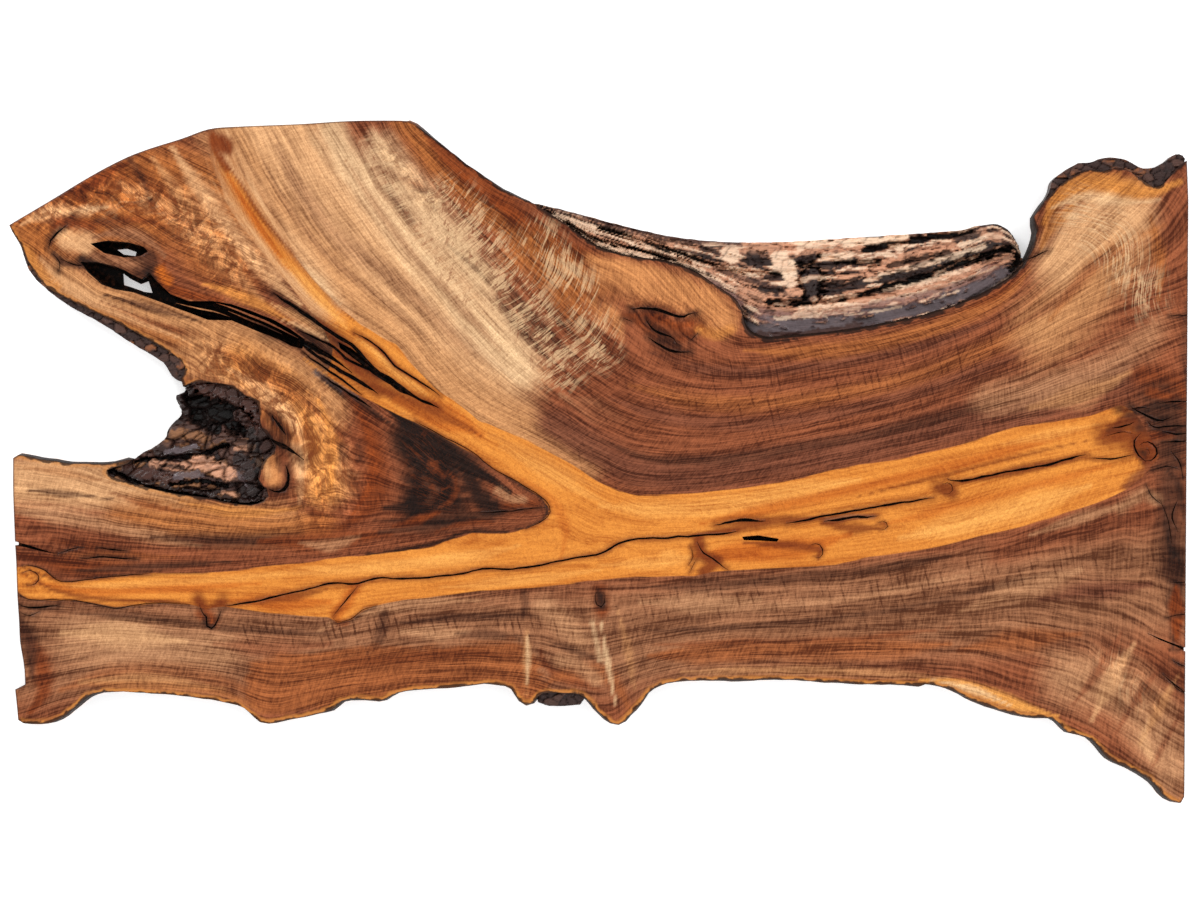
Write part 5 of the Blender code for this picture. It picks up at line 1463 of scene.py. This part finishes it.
class SlabColours(bpy.types.PropertyGroup):
    """The colours of the wood and the bark."""

    heart: colour_property("Heartwood", "#83462A")
    tan: colour_property("Tan wood", "#C08656")
    pale_tan: colour_property("Pale tan wood", "#D6A070")
    cream: colour_property("Cream figure", "#E6BE90")
    grey_brown: colour_property("Grey brown wood", "#8E5C3E")
    grey_tan: colour_property("Grey tan wood", "#B37F59")
    warm_brown: colour_property("Warm brown wood", "#A05C2C")
    red_brown: colour_property("Red brown wood", "#94512A")
    mahogany: colour_property("Mahogany brown wood", "#733415")
    purple_brown: colour_property("Purple brown wood", "#703E2A")
    deep_brown: colour_property("Deep brown wood", "#4C2A1B")
    black_brown: colour_property("Black brown wood", "#1C100C")
    blue_grey: colour_property("Blue grey stain", "#454246")
    honey: colour_property("Honey wood", "#CB813C")
    copper: colour_property("Copper wood", "#C4804C")
    amber: colour_property("Sapwood", "#DC8736")
    honey_light: colour_property("Bright sapwood", "#EBA04E")
    deep_amber: colour_property("Deep sapwood", "#C4651F")
    rust: colour_property("Rust lines", "#7F3813")
    side: colour_property("Live side", "#2C1A11")
    # The inside of cracks and clefts: dark wood and bark, with painted shade in them.
    crack: colour_property("Inside of cracks", "#0E0806")
    bark_dark: colour_property("Dark bark", "#2A1A17")
    bark_brown: colour_property("Brown bark", "#55372C")
    inner_bark: colour_property("Inner bark", "#D69A78")
    # Pale bark, also used for the painted highlights along the saddle's trough.
    pale_bark_and_highlight: colour_property("Pale bark", "#FBD7B6")
    # Old inner skin, also used for painted blue-grey reflections on the pocket's glossy plates.
    inner_skin_and_reflection: colour_property("Old inner skin", "#66595C")
    mauve: colour_property("Pink inner skin", "#946A60")
    plum: colour_property("Plum brown bark", "#4A2B22")
    chip_brown: colour_property("Bark chips", "#96643F")


class SlabSizes(bpy.types.PropertyGroup):
    """How finely the pieces are meshed."""

    wood_cell: bpy.props.FloatProperty(
        name="Wood mesh", description="Spacing of the points of the sanded face", default=0.0042, min=0.002,
        unit="LENGTH")
    bark_cell: bpy.props.FloatProperty(
        name="Bark mesh", description="Spacing of the points of the bark", default=0.0019, min=0.001,
        unit="LENGTH")


class StageSettings(bpy.types.PropertyGroup):
    """The floor, the light and the camera."""

    floor: colour_property("Floor", "#FFFFFF")
    light_power: bpy.props.FloatProperty(
        name="Light", description="Power of each large soft light", default=57.0, min=0.0, unit="POWER")
    lens: bpy.props.FloatProperty(
        name="Lens", description="Focal length of the camera", default=135.0, min=20.0, unit="CAMERA")


class SLAB_OT_wood(bpy.types.Operator):
    """Makes the slab's wood from its CAD node, with its cracks and its figure"""

    bl_idname = "slab.wood"
    bl_label = "Walnut wood"

    def execute(self, context):
        """Meshes the faces finely, cuts the cracks and colours the wood."""
        colours = context.scene.slab_colours
        bm = bmesh.new()
        bm.from_mesh(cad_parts["walnut_slab"].data)
        bmesh.ops.remove_doubles(bm, verts=bm.verts, dist=1e-6)
        solid = as_object("slab_solid", bm)
        low = (WOOD_LOW.x - 0.01, WOOD_LOW.y - 0.01, FACE_INSET)
        high = (WOOD_HIGH.x + 0.01, WOOD_HIGH.y + 0.01, TOP - FACE_INSET)
        wood = gridded_block("slab_wood", low, high, context.scene.slab_sizes.wood_cell, None, 0.018)
        cutters = [crack_cutter(f"cracks_{i}", cracks) for i, cracks in enumerate(CRACKS)]
        carve(wood, "INTERSECT", solid)
        bm = bmesh.new()
        for outline in SPLIT_FLOORS:
            add_prism(bm, outline, 0.002, SPLIT_FLOOR)
        carve(wood, "UNION", as_object("split_floors", bm))
        bm = bmesh.new()
        for half, line in SPLINTERS:
            curve = smooth_line(line, 4)
            taper = half * np.sin(np.linspace(0.15, math.pi - 0.15, len(curve)))
            side = sides_of(curve) * taper[:, None]
            add_prism(bm, np.vstack([curve + side, (curve - side)[::-1]]), 0.006, TOP - 0.0009)
        carve(wood, "UNION", as_object("splinters", bm))
        carve(wood, "DIFFERENCE", *cutters)
        mesh = wood.data
        dress_wood(mesh, colours)
        mesh.materials.clear()
        mesh.materials.append(oiled_walnut(colours))
        mesh.shade_smooth()
        mesh.set_sharp_from_angle(angle=math.radians(28))
        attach(wood, "root")
        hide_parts("walnut_slab")
        return {"FINISHED"}


class SLAB_OT_bark(bpy.types.Operator):
    """Makes the five bodies of bark"""

    bl_idname = "slab.bark"
    bl_label = "Walnut bark"

    def execute(self, context):
        """Shapes each body of bark over its CAD node's plan."""
        colours, cell = context.scene.slab_colours, context.scene.slab_sizes.bark_cell
        ridged = walnut_bark("ridged_walnut_bark", 0.22)
        plated = walnut_bark("plated_walnut_bark", 0.24)
        make_bark("saddle_bark", SADDLE, saddle_relief, cell, colours, ridged)
        make_bark("pocket_bark", POCKET, pocket_relief, cell * 0.8, colours, plated)
        for name, shape in (("lobe_bark", LOBE), ("tongue_bark", TONGUE), ("spur_bark", SPUR)):
            make_bark(name, shape, strip_relief, cell, colours, plated)
        return {"FINISHED"}


class SLAB_OT_stage(bpy.types.Operator):
    """Makes the pale floor, the soft lights and the camera straight above"""

    bl_idname = "slab.stage"
    bl_label = "Stage"

    def execute(self, context):
        """Sets the slab out as in a catalogue, seen from straight above."""
        settings = context.scene.slab_stage
        bm = bmesh.new()
        bmesh.ops.create_grid(bm, x_segments=1, y_segments=1, size=12)
        floor = as_object("floor", bm)
        floor.location.z = -0.0005
        # A white sheet lit softly from below, so that the ground stays pale.
        material, tree, shader, _ = new_material("white_light_table")
        connect(tree, shader, {"Base Color": (*settings.floor, 1.0), "Roughness": 0.9,
                               "Emission Color": WHITE, "Emission Strength": 0.42})
        floor.data.materials.append(material)
        world = bpy.data.worlds.new("studio")
        context.scene.world = world
        world.use_nodes = True
        connect(world.node_tree, world.node_tree.nodes["Background"], {"Color": WHITE, "Strength": 0.66})
        for name, place, share in LAMPS:
            light = bpy.data.lights.new(name, "AREA")
            light.energy = settings.light_power * share
            light.size = 1.6
            lamp = bpy.data.objects.new(name, light)
            context.scene.collection.objects.link(lamp)
            lamp.location = place
            lamp.rotation_euler = (-Vector(place)).to_track_quat("-Z", "Y").to_euler()
        view = bpy.data.cameras.new("camera")
        view.lens = settings.lens
        view.sensor_width = 36.0
        camera = bpy.data.objects.new("camera", view)
        context.scene.collection.objects.link(camera)
        distance = VIEW_WIDTH * UNIT / view.sensor_width * view.lens
        camera.location = plan(*VIEW_MIDDLE, TOP + distance)
        context.scene.camera = camera
        context.scene.view_settings.view_transform = "Standard"
        return {"FINISHED"}


class SLAB_PT_panel(bpy.types.Panel):
    """Lists the slab's pieces and settings in the sidebar"""

    bl_label = "Walnut Slab"
    bl_idname = "SLAB_PT_panel"
    bl_space_type = "VIEW_3D"
    bl_region_type = "UI"
    bl_category = "Walnut Slab"

    def draw(self, context):
        """Shows one button a piece, then the settings."""
        for operator in OPERATORS:
            self.layout.operator(operator.bl_idname)
        for group in (context.scene.slab_sizes, context.scene.slab_stage, context.scene.slab_colours):
            for name in group.__annotations__:
                self.layout.prop(group, name)


GROUPS = {"slab_colours": SlabColours, "slab_sizes": SlabSizes, "slab_stage": StageSettings}
OPERATORS = (SLAB_OT_stage, SLAB_OT_wood, SLAB_OT_bark)


def register():
    """Registers the settings, the operators and the panel."""
    for cls in (*GROUPS.values(), *OPERATORS, SLAB_PT_panel):
        bpy.utils.register_class(cls)
    for name, group in GROUPS.items():
        setattr(bpy.types.Scene, name, bpy.props.PointerProperty(type=group))


def unregister():
    """Takes the settings, the operators and the panel out again."""
    for name in GROUPS:
        delattr(bpy.types.Scene, name)
    for cls in (SLAB_PT_panel, *reversed(OPERATORS), *reversed(GROUPS.values())):
        bpy.utils.unregister_class(cls)


def main():
    """Makes the stage and every piece."""
    register()
    bpy.ops.slab.stage()
    bpy.ops.slab.wood()
    bpy.ops.slab.bark()


if __name__ == "__main__":
    main()
